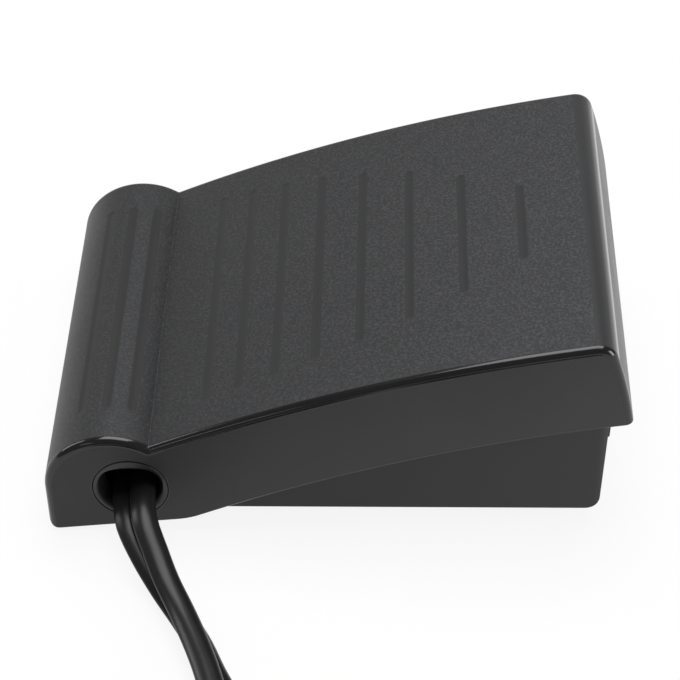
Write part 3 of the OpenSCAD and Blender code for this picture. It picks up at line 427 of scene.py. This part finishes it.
# Treadle: the side view's outline, which can be moved inwards by d
def meet(c0, r0, c1, r1):
    """Where two circles cross: the crossing that lies higher."""
    gap = np.linalg.norm(c1 - c0)
    ahead = (c1 - c0) / gap
    beside = np.array([-ahead[1], ahead[0]])
    along = (gap ** 2 + r0 ** 2 - r1 ** 2) / (2 * gap)
    off = math.sqrt(r0 ** 2 - along ** 2)
    return max((c0 + along * ahead + s * off * beside for s in (-1, 1)), key=lambda p: p[1])


def bearing(p, centre):
    """The angle at which a 2D point lies from a centre."""
    return math.atan2(p[1] - centre[1], p[0] - centre[0])


def plate_height(x, r=PLATE_R):
    """Height at x of the plate's arc, or of an arc of another radius about the same centre."""
    return PLATE_C[1] + np.sqrt(r ** 2 - (x - PLATE_C[0]) ** 2)


FACE_C = (np.array([FACE_X, plate_height(FACE_X, SKIRT_R)])
          - FACE_R * np.array([math.cos(FACE_LEAN), math.sin(FACE_LEAN)]))
TOE_C = meet(PLATE_C, PLATE_R - TOE_R, FACE_C, FACE_R - TOE_R)
TOE_TOP = bearing(TOE_C, PLATE_C)
FACE_TOP = bearing(TOE_C, FACE_C)
# The valley between the barrel and the plate is a hollow rounding that touches both
VALLEY_C = meet(BARREL_C, BARREL_R + VALLEY_R, PLATE_C, PLATE_R + VALLEY_R)
BARREL_END = bearing(VALLEY_C, BARREL_C)
PLATE_START = bearing(VALLEY_C, PLATE_C)


def toe_end(d, h):
    """Lower end of the toe face, moved inwards by d and raised by h."""
    return meet(FACE_C, FACE_R - d, PLATE_C, SKIRT_R + h)


def heel_end(d, h):
    """Lower end of the heel face, moved inwards by d and raised by h. The corner is rounded."""
    in_round = max(HEEL_R - d, 0)
    z = HEEL_GAP + d * HEEL_RISE + h + HEEL_R - math.sqrt(HEEL_R ** 2 - in_round ** 2)
    return np.array([HEEL_X + d, z])


def between(first, last, shares, part):
    """A value that runs from first to last while shares runs from part to part + 1."""
    return first + (last - first) * np.clip(shares - part, 0, 1)


def heel_part(d, shares, h=LIP_R):
    """Heel face, then the barrel, then the valley: shares 0 to 1, 1 to 2 and 2 to 3."""
    low, top = heel_end(d, h), np.array([HEEL_X + d, BARREL_C[1]])
    on_barrel = between(math.pi, BARREL_END, shares, 1)
    in_valley = between(BARREL_END, PLATE_START, shares, 2)
    s = shares[:, None]
    curved = np.where(s <= 2, polar(BARREL_C, BARREL_R - d, on_barrel),
                      polar(VALLEY_C, -VALLEY_R - d, in_valley))
    turn = np.where(shares <= 2, on_barrel, in_valley)
    return np.where(s < 1, between(low, top, s, 0), curved), polar((0, 0), 1, turn)


def plate_part(d, shares, h=LIP_R):
    """Plate from the valley, then the toe's rounding, then the toe face: shares 0 to 1, 1 to 2 and 2 to 3."""
    on_plate = between(PLATE_START, TOE_TOP, shares, 0)
    on_toe = between(TOE_TOP, FACE_TOP, shares, 1)
    on_face = between(FACE_TOP, bearing(toe_end(d, h), FACE_C), shares, 2)
    s = shares[:, None]
    front = np.where(s <= 2, polar(TOE_C, TOE_R - d, on_toe), polar(FACE_C, FACE_R - d, on_face))
    turn = np.where(shares <= 1, on_plate, np.where(shares <= 2, on_toe, on_face))
    return np.where(s <= 1, polar(PLATE_C, PLATE_R - d, on_plate), front), polar((0, 0), 1, turn)


def skirt_corner():
    """x where the heel's lower edge meets the skirt's curve, found by halving a stretch that holds it."""
    low, high = 25.0, 45.0
    for _ in range(60):
        x = (low + high) / 2
        heel = HEEL_GAP + (x - HEEL_X) * HEEL_RISE
        if plate_height(x, SKIRT_R) < heel:
            low = x
        else:
            high = x
    return low


SKIRT_X = skirt_corner()
# The skirt's points lie closer together up to this x
SKIRT_FINE_X = 48.0


def lower_edge(d, h):
    """The side wall's lower edge from the heel to the toe, raised by h."""
    rounded = np.linspace(d, HEEL_R, 4)[:-1]
    straight = np.linspace(HEEL_R, SKIRT_X - CORNER, 8)
    heel = [heel_end(x, h) for x in (*rounded, *straight)]
    toe_x = toe_end(d, h)[0]
    x = np.array([*np.linspace(SKIRT_X + CORNER, SKIRT_FINE_X, 4), *np.linspace(SKIRT_FINE_X, toe_x, 40)[1:]])
    skirt = np.stack([x, plate_height(x, SKIRT_R + h)], -1)
    corner = np.array([SKIRT_X, HEEL_GAP + (SKIRT_X - HEEL_X) * HEEL_RISE + h])
    t = np.linspace(0, 1, 9)[1:-1, None]
    bend = (1 - t) ** 2 * heel[-1] + 2 * t * (1 - t) * corner + t ** 2 * skirt[0]
    return np.concatenate([heel, bend, skirt])


# Grooves: place along the surface and half length
groove_x = [LENGTH - GROOVE_FIRST - GROOVE_PITCH * (1 - GROOVE_SHRINK ** i) / (1 - GROOVE_SHRINK)
            for i in range(GROOVE_COUNT)]
plate_grooves = [(PLATE_R * (PLATE_START - math.acos((x - PLATE_C[0]) / PLATE_R)),
                  GROOVE_REACH * (1 - GROOVE_LACK * GROOVE_FADE ** i)) for i, x in enumerate(groove_x)]
barrel_grooves = [(BARREL_R * (math.pi - math.radians(BARREL_GROOVE_ANGLE + BARREL_GROOVE_STEP * i)),
                   BARREL_GROOVE_HALF) for i in range(BARREL_GROOVES)]


def groove_depth(along, y, grooves):
    """How deep each point lies in a groove, from 0 at its rim to 1 along its middle."""
    depth = np.zeros(np.broadcast(along, y).shape)
    r = GROOVE_W / 2
    for at, half in grooves:
        off = np.hypot(along - at, np.maximum(np.abs(y) - (half - r), 0))
        t = np.clip((r + GROOVE_EDGE - off) / (r + GROOVE_EDGE), 0, 1)
        depth = np.maximum(depth, t * t * (3 - 2 * t))
    return depth


# Spacing of the grid lines on the barrel, on the plate and across the treadle. It is finer near a groove and
# near a groove's ends, each within a reach, and beyond that it grows by a share of the distance.
BARREL_STEP = 1.0
PLATE_STEP = 2.0
CROSS_STEP = 4.0
FINE_STEP = 0.16
FINE_REACH = 1.7
END_STEP = 0.35
END_REACH = 1.9
STEP_GROWTH = 0.7


def spaced(low, high, step, fine, fine_step, reach):
    """Grid lines from low to high, closer together near each of the fine places."""
    lines = {low, high}
    x = low
    while x < high:
        near = min(abs(x - place) for place in fine)
        x += fine_step if near < reach else min(step, max(fine_step, (near - reach) * STEP_GROWTH))
        lines.add(min(x, high))
    return np.array(sorted(lines))


def with_grooves(part, shares, along, y, grooves):
    """A band of the treadle's upper side with its grooves pressed in: points, normals and depths."""
    p, n = part(0, shares)
    deep = groove_depth(along[:, None], y[None, :], grooves)
    normals = across(n, 0 * y)
    points = across(p, y) - GROOVE_D * deep[..., None] * normals
    ahead = np.stack([normals[..., 2], np.zeros_like(deep), -normals[..., 0]], -1)
    lean_ahead = np.gradient(GROOVE_D * deep, along, axis=0)[..., None] * ahead
    lean_aside = np.gradient(GROOVE_D * deep, y, axis=1)[..., None] * np.array([0.0, 1.0, 0.0])
    return points, unit(normals + lean_ahead + lean_aside), deep


def heel_rows():
    """Shares of the heel part's rows of points, and their places along the surface."""
    face_len = BARREL_C[1] - heel_end(0, LIP_R)[1]
    barrel_len = BARREL_R * (math.pi - BARREL_END)
    valley_len = VALLEY_R * (PLATE_START - BARREL_END)
    face = np.linspace(0, 1, 6)[:-1]
    barrel = spaced(0, barrel_len, BARREL_STEP, [at for at, _ in barrel_grooves], FINE_STEP, FINE_REACH)
    hollow = np.linspace(0, 1, 9)[1:]
    shares = np.concatenate([face, 1 + barrel / barrel_len, 2 + hollow])
    return shares, np.concatenate([face_len * (face - 1), barrel, barrel_len + valley_len * hollow])


def plate_rows():
    """Shares of the plate part's rows of points, and their places along the surface."""
    plate_len = PLATE_R * (PLATE_START - TOE_TOP)
    toe_len = TOE_R * (TOE_TOP - FACE_TOP)
    face_len = FACE_R * (FACE_TOP - bearing(toe_end(0, LIP_R), FACE_C))
    plate = spaced(0, plate_len, PLATE_STEP, [at for at, _ in plate_grooves], FINE_STEP, FINE_REACH)
    rounding = np.linspace(0, 1, 15)[1:]
    face = np.concatenate([np.linspace(0, FACE_SMOOTH, 4)[1:], np.linspace(FACE_SMOOTH, 1, 11)[1:]])
    shares = np.concatenate([plate / plate_len, 1 + rounding, 2 + face])
    front = plate_len + np.concatenate([toe_len * rounding, toe_len + face_len * face])
    return shares, np.concatenate([plate, front])


HEEL_SHARES, HEEL_ALONG = heel_rows()
PLATE_SHARES, PLATE_ALONG = plate_rows()
PARTS = ((heel_part, HEEL_SHARES), (plate_part, PLATE_SHARES))

# Slots of the treadle's materials, and the depth from which a face takes the groove's material
COVER_LOOKS = [tread, satin, polished, groove, toe, toe_round, barrel_groove]
TREAD, SATIN, POLISHED, GROOVE, TOE, TOE_ROUND, BARREL_GROOVE = range(len(COVER_LOOKS))
IN_GROOVE = 0.17


def upper_side(shell):
    """Heel face, barrel, plate, toe rounding and toe face, with the grooves."""
    flat = HALF - EDGE_R
    ends = sorted({half - GROOVE_W / 2 for _, half in plate_grooves + barrel_grooves})
    y = spaced(-flat, flat, CROSS_STEP, [s * end for end in ends for s in (-1, 1)], END_STEP, END_REACH)
    points, normals, deep = with_grooves(heel_part, HEEL_SHARES, HEEL_ALONG, y, barrel_grooves)
    mid = (deep[:-1, :-1] + deep[1:, 1:]) / 2
    shell.grid(points, normals, np.where(mid > IN_GROOVE, BARREL_GROOVE, TREAD))
    points, normals, deep = with_grooves(plate_part, PLATE_SHARES, PLATE_ALONG, y, plate_grooves)
    mid = (deep[:-1, :-1] + deep[1:, 1:]) / 2
    shares = (PLATE_SHARES[:-1, None] + PLATE_SHARES[1:, None]) / 2
    front = np.where(shares > 2 + FACE_SMOOTH, TOE, TOE_ROUND)
    shell.grid(points, normals, np.where(shares > 1, front, np.where(mid > IN_GROOVE, GROOVE, TREAD)))


def side_edges(shell):
    """The rounded edges between the upper side and the side faces."""
    for side in (-1, 1):
        for part, shares in PARTS:
            rows, bends = [], []
            for a in np.linspace(0, math.pi / 2, 11):
                p, n = part(EDGE_R * (1 - math.cos(a)), shares)
                rows.append(at_y(p, side * (HALF - EDGE_R * (1 - math.sin(a)))))
                bends.append(at_y(n * math.cos(a), side * math.sin(a)))
            shell.grid(rows, bends, POLISHED)


def side_outline(d, h):
    """A side wall's outline, moved inwards by d, with its lower edge raised by h."""
    heel, plate = (part(d, shares, h)[0] for part, shares in PARTS)
    return np.concatenate([heel, plate[1:], lower_edge(d, h)[::-1][1:-1]])


def bearing_bore(shell, side, turn):
    """A bearing bore: a small rounded rim, the bore and the boss inside."""
    out = polar((0, 0), 1, turn)
    rows, bends = [], []
    for a in np.linspace(0, math.pi / 2, 4):
        ring = polar(PIVOT, BORE_R + BORE_RIM * (1 - math.sin(a)), turn)
        rows.append(at_y(ring, side * (HALF - BORE_RIM * (1 - math.cos(a)))))
        bends.append(at_y(-out * math.sin(a), side * math.cos(a)))
    shell.grid(rows, bends, POLISHED, close=True)
    end = HALF - WALL - BOSS_LEN
    bore, boss = (polar(PIVOT, r, turn) for r in (BORE_R, BORE_R + BOSS_WALL))
    for ring, start, way in ((bore, HALF - BORE_RIM, -1), (boss, HALF - WALL, 1)):
        rows = [at_y(ring, side * y) for y in (start, end)]
        shell.grid(rows, [at_y(way * out, 0.0)] * 2, SATIN, close=True)
    rows = [at_y(ring, side * end) for ring in (bore, boss)]
    shell.grid(rows, [at_y(0 * out, -side)] * 2, SATIN, close=True)


def side_walls(shell):
    """The outer and inner faces of both side walls, with their bearing bores."""
    turn = circle(96)
    for side in (-1, 1):
        rim, bore = (polar(PIVOT, r, turn) for r in (BORE_R + BORE_RIM, BORE_R))
        shell.side_face(side_outline(EDGE_R, LIP_R), rim, side * HALF, side, SATIN)
        bearing_bore(shell, side, turn)
        shell.side_face(side_outline(WALL, 0), bore, side * (HALF - WALL), -side, SATIN)


def lip_corner(end, facing, t, h, side):
    """The lower edge round a corner, from the side wall to the face that ends there: points and normals."""
    rows = []
    for a in np.linspace(math.pi / 2, 0, 9)[1:]:
        p = end(EDGE_R - (EDGE_R - t) * math.cos(a), h)
        y = HALF - EDGE_R + (EDGE_R - t) * math.sin(a)
        out = facing(p) * math.cos(a)
        rows.append((p[0], side * y, p[1], out[0], side * math.sin(a), out[1]))
    return rows


def lip_loop(t, h, lean):
    """One loop round the treadle's lower edge, moved inwards by t and raised by h. Its normals lean down."""
    halves = []
    for side in (-1, 1):
        heel = lip_corner(heel_end, lambda p: np.array([-1.0, 0.0]), t, h, side)
        wall = [(x, side * (HALF - t), z, 0, side, 0) for x, z in lower_edge(EDGE_R, h)]
        front = lip_corner(toe_end, lambda p: unit(p - FACE_C), t, h, side)
        run = heel[::-1] + wall + front
        halves.append(run if side < 0 else run[::-1])
    rows = np.concatenate(halves)
    return rows[:, :3], rows[:, 3:] * math.cos(lean) + np.array([0, 0, -1]) * math.sin(lean)


def lower_lip(shell):
    """The treadle's lower edge: its rounded outer edge, then the underside of the wall."""
    edge = [(LIP_R * (1 - math.cos(a)), LIP_R * (1 - math.sin(a)), a) for a in np.linspace(0, math.pi / 2, 5)]
    under = [(t, 0, math.pi / 2) for t in np.linspace(LIP_R, WALL, 8)]
    for band, slot in ((edge, POLISHED), (under, SATIN)):
        points, normals = zip(*(lip_loop(*place) for place in band))
        shell.grid(points, normals, slot, close=True)


def inner_side(shell):
    """The underside of the barrel and the plate."""
    y = np.linspace(WALL - HALF, HALF - WALL, 9)
    for part, shares in PARTS:
        p, n = part(WALL, shares, 0)
        shell.grid(across(p, y), -across(n, 0 * y), SATIN)


# Posts that hang from the plate: x, distance from the middle, radius and lower end. They meet the return
# springs, which have a pilot inside, the rubber stops and the wear pad.
POSTS = [(*SPRING_AT, SPRING_R + SPRING_RIM, SPRING_SEAT),
         (*SPRING_AT, SPRING_R - 2 * SPRING_WIRE, SPRING_SEAT - PILOT_LEN),
         (120.0, 34.0, 4.5, 44.4),
         (PLUNGER_X, 0.0, 5.5, 40.3)]


def hung_post(shell, x, y, r, low):
    """A post from the middle of the plate's wall down to a height."""
    turn = circle(36)
    rim = polar((x, y), r, turn)
    foot = np.column_stack([rim, np.full(len(rim), low)])
    top = np.column_stack([rim, plate_height(rim[:, 0]) - WALL / 2])
    out = np.column_stack([polar((0, 0), 1, turn), np.zeros(len(rim))])
    shell.grid([foot, top], [out, out], SATIN, close=True)
    shell.cap(foot, (0, 0, -1), SATIN)
    shell.cap(top, (0, 0, 1), SATIN)


def treadle_skin():
    """The treadle's cover."""
    shell = Shell()
    upper_side(shell)
    side_edges(shell)
    side_walls(shell)
    lower_lip(shell)
    inner_side(shell)
    for x, y, r, low in POSTS:
        for place in sorted({-y, y}):
            hung_post(shell, x, place, r, low)
    return shell.object("treadle_cover_skin", COVER_LOOKS)


cover = treadle_skin()
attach(cover, "treadle")
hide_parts("treadle_cover")

# Cord bushing: a round insert with a rounded D-shaped hole, on a foot that stands on the tray
HOLE_R = 8.0
HOLE_FLAT = 6.7
# How sharp the hole's two corners are
HOLE_POWER = 7
RIM_R = 0.28
# The mouth rounds in by MOUTH over MOUTH_DEEP, to a throat that is narrower than the hole by THROAT. The hole
# behind it is reached over THROAT_LEN.
MOUTH = 2.25
MOUTH_DEEP = 5.0
THROAT = 1.5
THROAT_LEN = 2.5
# The foot: its near face's distance from the middle, its length inwards, its width and its heights
FOOT_Y = 44.1
FOOT_LEN = 13.0
FOOT_W = 26.0
FOOT_LOW = 7.1
FOOT_HIGH = 22.6


def hole_outline(grow, turn):
    """The D-shaped hole, made larger all round by grow: a circle with a flat top and soft corners."""
    flat = np.maximum(np.sin(turn), 0) / (HOLE_FLAT + grow)
    r = ((1 / (HOLE_R + grow)) ** HOLE_POWER + flat ** HOLE_POWER) ** (-1 / HOLE_POWER)
    ring = polar(PIVOT, r, turn)
    return ring, outward(ring)


def bushing_foot(shell, hole, turn):
    """The block behind the round insert, with the hole through it."""
    x0, x1 = PIVOT[0] - FOOT_W / 2, PIVOT[0] + FOOT_W / 2
    corners = np.array([(x0, FOOT_LOW), (x1, FOOT_LOW), (x1, FOOT_HIGH), (x0, FOOT_HIGH)])
    near, far = -FOOT_Y, FOOT_LEN - FOOT_Y
    shell.side_face(corners, polar(PIVOT, BUSH_R, turn), near, -1, 0)
    shell.side_face(corners, hole, far, 1, 0)
    for pair in zip(corners, np.roll(corners, -1, 0)):
        along = unit(pair[1] - pair[0])
        out = np.array([(along[1], -along[0])] * 2)
        shell.grid([at_y(np.array(pair), y) for y in (near, far)], [at_y(out, 0.0)] * 2, 0)


def bushing_skin():
    """The cord bushing, from its round side past the rim into the hole, and its foot."""
    shell = Shell()
    turn = circle(120)
    out = polar((0, 0), 1, turn)
    rows, bends = [at_y(polar(PIVOT, BUSH_R, turn), -FOOT_Y)], [at_y(out, 0.0)]
    for a in np.linspace(0, math.pi / 2, 5):
        ring = polar(PIVOT, BUSH_R - RIM_R * (1 - math.cos(a)), turn)
        rows.append(at_y(ring, RIM_R * (1 - math.sin(a)) - HALF))
        bends.append(at_y(out * math.cos(a), -math.sin(a)))
    for a in np.linspace(0, math.pi / 2, 9):
        ring, facing = hole_outline(MOUTH * (1 - math.sin(a)) - THROAT, turn)
        rows.append(at_y(ring, MOUTH_DEEP * (1 - math.cos(a)) - HALF))
        bends.append(unit(at_y(-facing * math.sin(a) * MOUTH_DEEP, -math.cos(a) * MOUTH)))
    hole, facing = hole_outline(0, turn)
    for y in (MOUTH_DEEP + THROAT_LEN - HALF, FOOT_LEN - FOOT_Y):
        rows.append(at_y(hole, y))
        bends.append(at_y(-facing, 0.0))
    shell.grid(rows, bends, 0, close=True)
    bushing_foot(shell, hole, turn)
    return shell.object("cord_bushing_skin", [bush_abs])


bushing = bushing_skin()
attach(bushing, "base")
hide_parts("cord_bushing")

# Leads: flat ovals along smooth lines through their routes, round their coils and on to their ends. OVAL is
# the power that makes the section a little slimmer than an ellipse, and LINE_STEP about the points' distance.
CORD_W = 6.2
CORD_T = 3.6
CORD_SIDES = 40
OVAL = 1.12
LINE_STEP = 2.5
# Coils: middle radius, height of the lowest layer, half the distance of the two columns, layers' distance
COIL_R = 33.0
COIL_LOW = 2.7
COIL_COLUMN = 3.2
COIL_LAYER = 3.7
COIL_TURNS = 8
# Degrees: the last, short turn, and the step from point to point
COIL_LAST = 250
COIL_STEP = 7.5
# Share of a turn in which the line crosses to its next place
CROSSING = 0.26


def smooth_line(points):
    """A Catmull-Rom line through the points."""
    p = np.asarray(points, float)
    p = np.concatenate([[2 * p[0] - p[1]], p, [2 * p[-1] - p[-2]]])
    line = []
    for i in range(1, len(p) - 2):
        a, b, c, d = p[i - 1:i + 3]
        count = max(2, round(np.linalg.norm(c - b) / LINE_STEP))
        for t in np.arange(count) / count:
            bend = (2 * a - 5 * b + 4 * c - d) * t ** 2 + (3 * b - a - 3 * c + d) * t ** 3
            line.append(0.5 * (2 * b + (c - a) * t + bend))
    return np.array(line + [p[-2]])


def coil_place(turn):
    """A turn's distance from the coil's middle radius, and its height. A layer has two turns."""
    layer, second = divmod(turn, 2)
    outer = (second == 0) == (layer % 2 == 0)
    return np.array([COIL_COLUMN if outer else -COIL_COLUMN, layer * COIL_LAYER])


def coil_line(centre, start, end):
    """The turns of a coil between two angles in degrees. The last turn is a short one."""
    sweep = abs(end - start)
    whole = (sweep - COIL_LAST) / (COIL_TURNS - 1)
    count = int(sweep / COIL_STEP)
    line = []
    for i in range(count + 1):
        done = sweep * i / count / whole
        turn = min(int(done), COIL_TURNS - 1)
        part = done - turn if turn < COIL_TURNS - 1 else 0
        t = np.clip((part - 1 + CROSSING) / CROSSING, 0, 1)
        share = 2 * t ** 2 if t < 0.5 else 1 - 2 * (1 - t) ** 2
        after = min(turn + 1, COIL_TURNS - 1)
        out, up = coil_place(turn) * (1 - share) + coil_place(after) * share
        a = math.radians(start + (end - start) * i / count)
        line.append((*polar(centre, COIL_R + out, a), COIL_LOW + up))
    return np.array(line)


def flat_tube(name, line, look):
    """A flat oval lead along a line, its wide side level."""
    along = unit(np.gradient(line, axis=0))
    side = unit(np.cross(along, [0, 0, 1]))
    up = np.cross(side, along)
    ring = polar((0, 0), 1, circle(CORD_SIDES) + math.pi / CORD_SIDES)
    section = np.sign(ring) * np.abs(ring) ** OVAL * np.array([CORD_W, CORD_T]) / 2
    points = line[:, None] + carry(section, side, up)
    shell = Shell()
    shell.grid(points, carry(outward(section), side, up), 0, close=True)
    shell.cap(points[0], -along[0], 0)
    shell.cap(points[-1], along[-1], 0)
    return shell.object(name, [look])


def lead(kind, route, centre, start, end, tail):
    """The mains or the machine lead, with its coil's centre and its angles in degrees."""
    line = np.concatenate([smooth_line(route)[:-1], coil_line(centre, start, end)[:-1], smooth_line(tail)])
    ob = flat_tube(kind + "_cord", line, cord_pvc)
    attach(ob, "base")
    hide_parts(kind + "_lead", kind + "_coil", kind + "_tail")


mains_route = [(17, -34, 11), (18, -42, 10.5), (19, -50, 10.4), (20.5, -57.5, 9.3), (24.5, -65, 6.2),
               (29.5, -72.5, 3.2), (34.5, -80, 2), (39, -88, 1.9), (42.5, -96, 1.9), (46.5, -104, 1.9),
               (50.7, -113, 1.9), (55.7, -123.5, 1.9), (60.7, -134, 2), (66, -145.5, 2.4),
               (72.5, -159, 2.7), (79.3, -173.5, 2.7)]
machine_route = [(24, -34, 11), (23.6, -42, 12.8), (23.4, -50, 13.6), (24.5, -58.5, 12.8), (27.5, -66, 10),
                 (30.5, -73, 7.6), (34.5, -81, 6), (38.2, -89.5, 5.5), (41, -97, 5.5), (43.5, -105, 5.5),
                 (46.2, -113, 5.5), (49.8, -123.5, 4), (53.3, -134, 2.7), (57.4, -146.6, 2.7)]
mains_tail = [(146, -170.4, 13.9), (147.5, -159.7, 15.4), (144.6, -149.3, 17.2), (137.6, -141, 17.6),
              (127, -136.1, 18), (115.3, -136.3, 19.4), (104.9, -141.6, 21.4), (98, -150.5, 22.5)]
machine_tail = [(-11, -170.4, 13.9), (-12.5, -159.7, 15.4), (-9.6, -149.3, 17.2), (-2.6, -141, 17.6),
                (7.1, -136.3, 17.7), (17.9, -135.9, 18.2), (27.9, -139.9, 19.4), (36.4, -149.3, 21),
                (39.4, -161.5, 21.7)]
lead("mains", mains_route, centre=(112, -158), start=205.4, end=340 + 360 * (COIL_TURNS - 1), tail=mains_tail)
lead("machine", machine_route, centre=(23, -158), start=18.4, end=-160 - 360 * (COIL_TURNS - 1),
     tail=machine_tail)

# Springs. The first and the last turn lie flat for this share, and each turn has so many points.
SPRING_FLAT = 0.8
SPRING_POINTS = 28


def spring(name, node, centres, r, wire, low, high, turns):
    """One spring or several alike, wound as coils of wire from a low end to a high one."""
    shell = Shell()
    ring = polar((0, 0), 1, circle(12))
    t = np.linspace(0, turns + 2, SPRING_POINTS * (turns + 2) + 1)
    a = 2 * math.pi * t
    climb = np.clip((t - SPRING_FLAT) / (turns + 2 - 2 * SPRING_FLAT), 0, 1)
    z = low + wire + (high - low - 2 * wire) * climb
    out = np.column_stack([polar((0, 0), 1, a), 0 * a])
    for centre in centres:
        line = np.column_stack([polar(centre, r, a), z])
        along = unit(np.gradient(line, axis=0))
        normals = carry(ring, out, np.cross(along, out))
        shell.grid(line[:, None] + wire * normals, normals, 0, close=True)
    ob = shell.object(name, [spring_steel])
    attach(ob, "base")
    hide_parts(node)
    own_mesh(ob)


spring("return_spring_coils", "return_springs", centres=[SPRING_AT, (SPRING_AT[0], -SPRING_AT[1])],
       r=SPRING_R, wire=SPRING_WIRE, low=SPRING_LOW, high=SPRING_SEAT, turns=7)
spring("plunger_spring_coil", "plunger_spring", centres=[(PLUNGER_X, 0.0)],
       r=2.6, wire=0.35, low=7.1, high=33.0, turns=10)

# The other pieces keep their CAD shape and take their materials here
looks = {
    "base_tray": base_abs, "pivot_bushing": bush_abs, "cord_clamp": bush_abs,
    "rubber_feet": rubber, "bump_stops": rubber, "mains_tie": rubber, "machine_tie": rubber,
    "bushing_screws": steel, "board_screws": steel, "terminal_screws": steel, "triac_screw": steel,
    "clamp_screws": steel, "plunger": acetal, "pusher_pad": acetal, "pot_slider": acetal,
    "potentiometer": pot_black, "pot_pins": brass, "fuse_clips": brass, "connector_contacts": brass,
    "circuit_board": board_green, "terminal_block": nylon_green, "fuse": glass, "choke_core": ferrite,
    "choke_winding": copper, "suppression_capacitor": film_yellow, "timing_capacitor": dipped_red,
    "triac": epoxy, "heat_sink": aluminium, "resistors": lacquer, "lead_stubs": cord_pvc,
    "lead_wires": insulation, "mains_plug": plug_pvc, "machine_connector": plug_pvc, "plug_pins": nickel}
for node, look in looks.items():
    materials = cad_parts[node].data.materials
    materials.clear()
    materials.append(look)

# Floor, light and camera, in metres. The floor is mostly plain white to the camera and keeps a faint shadow.
FLOOR_HALF = 3.0
FLOOR_GREY = (0.9, 0.9, 0.9, 1)
FLOOR_WHITE = 0.88
# Brightness of the room and of the wall behind the object. The wall is seen where a direction's share along y
# is over WALL_FROM, and is fully bright from WALL_FULL.
ROOM = 0.21
WALL_LIGHT = 0.74
WALL_FROM = 0.35
WALL_FULL = 0.75


def white_for(tree, shader, share, rays):
    """Mixes a shader with plain white, by share, for the named kinds of ray."""
    path = put(tree, "LightPath")
    seen = path.outputs[rays[0]]
    for ray in rays[1:]:
        seen = combine(tree, "MAXIMUM", seen, path.outputs[ray])
    mix = tree.nodes.new("ShaderNodeMixShader")
    white = put(tree, "Emission", Color=(1, 1, 1, 1), Strength=1.0)
    tree.links.new(combine(tree, "MULTIPLY", seen, share), mix.inputs[0])
    tree.links.new(shader.outputs[0], mix.inputs[1])
    tree.links.new(white.outputs[0], mix.inputs[2])
    return mix.outputs[0]


def floor_piece():
    """A wide floor under the part."""
    made = bpy.data.materials.new("floor")
    made.use_nodes = True
    tree = made.node_tree
    shader = tree.nodes["Principled BSDF"]
    shader.inputs["Base Color"].default_value = FLOOR_GREY
    shader.inputs["Roughness"].default_value = 0.9
    shader.inputs["Specular IOR Level"].default_value = 0.1
    rays = ["Is Camera Ray", "Is Glossy Ray", "Is Transmission Ray"]
    surface = tree.nodes["Material Output"].inputs["Surface"]
    tree.links.new(white_for(tree, shader, FLOOR_WHITE, rays), surface)
    data = bpy.data.meshes.new("floor")
    corners = [(x * FLOOR_HALF, y * FLOOR_HALF, 0) for x, y in ((-1, -1), (1, -1), (1, 1), (-1, 1))]
    data.from_pydata(corners, [], [(0, 1, 2, 3)])
    data.materials.append(made)
    add("floor", data)


def studio_world():
    """A white wall behind the object and a dim room on the other sides."""
    world = bpy.data.worlds.new("studio")
    scene.world = world
    world.use_nodes = True
    tree = world.node_tree
    back = tree.nodes["Background"]
    back.inputs["Color"].default_value = (1, 1, 1, 1)
    apart = put(tree, "SeparateXYZ")
    tree.links.new(put(tree, "TexCoord").outputs["Generated"], apart.inputs[0])
    light = ramp(tree, apart.outputs["Y"], WALL_FROM, WALL_FULL, ROOM, WALL_LIGHT)
    tree.links.new(light, back.inputs["Strength"])
    surface = tree.nodes["World Output"].inputs["Surface"]
    tree.links.new(white_for(tree, back, 1.0, ["Is Camera Ray"]), surface)


def area_light(name, at, aim, size, power):
    """A rectangular light at a place, turned to an aim."""
    light = bpy.data.lights.new(name, "AREA")
    light.shape = "RECTANGLE"
    light.size, light.size_y = size
    light.energy = power
    ob = add(name, light)
    ob.location = at
    ob.rotation_euler = (Vector(aim) - Vector(at)).to_track_quat("-Z", "Y").to_euler()


floor_piece()
studio_world()
area_light("top_light", (0.03, 0.13, 0.95), (0, 0, 0.03), (0.73, 0.72), 7.6)
area_light("right_light", (0.7, -0.28, 0.25), (0.06, 0, 0.03), (0.3, 0.4), 2.9)
area_light("left_light", (-0.84, 0.235, 0.45), (-0.05, -0.05, 0.03), (0.2, 0.6), 1.7)
area_light("front_strip", (-0.52, -0.58, 0.46), (0, 0, 0.03), (0.3, 0.05), 0.15)

# The camera's place, its direction, and its lens and sensor in millimetres
CAMERA_AT = (0.014266, -0.426161, 0.398975)
AZIMUTH = math.radians(1.923)
ELEVATION = math.radians(41.787)
ROLL = math.radians(-1.114)
LENS = 118.69
SENSOR = 36.0


def camera():
    """The camera that took the photograph."""
    back = Vector((math.sin(AZIMUTH) * math.cos(ELEVATION), -math.cos(AZIMUTH) * math.cos(ELEVATION),
                   math.sin(ELEVATION)))
    level = Vector((math.cos(AZIMUTH), math.sin(AZIMUTH), 0))
    upright = level.cross(-back)
    right = math.cos(ROLL) * level + math.sin(ROLL) * upright
    up = math.cos(ROLL) * upright - math.sin(ROLL) * level
    data = bpy.data.cameras.new("camera")
    data.lens = LENS
    data.sensor_width = SENSOR
    data.clip_start = 0.02
    data.clip_end = 20.0
    ob = add("camera", data)
    rows = [(right[i], up[i], back[i], CAMERA_AT[i]) for i in range(3)]
    ob.matrix_world = Matrix((*rows, (0, 0, 0, 1)))
    return ob


scene.camera = camera()
scene.view_settings.view_transform = "Standard"
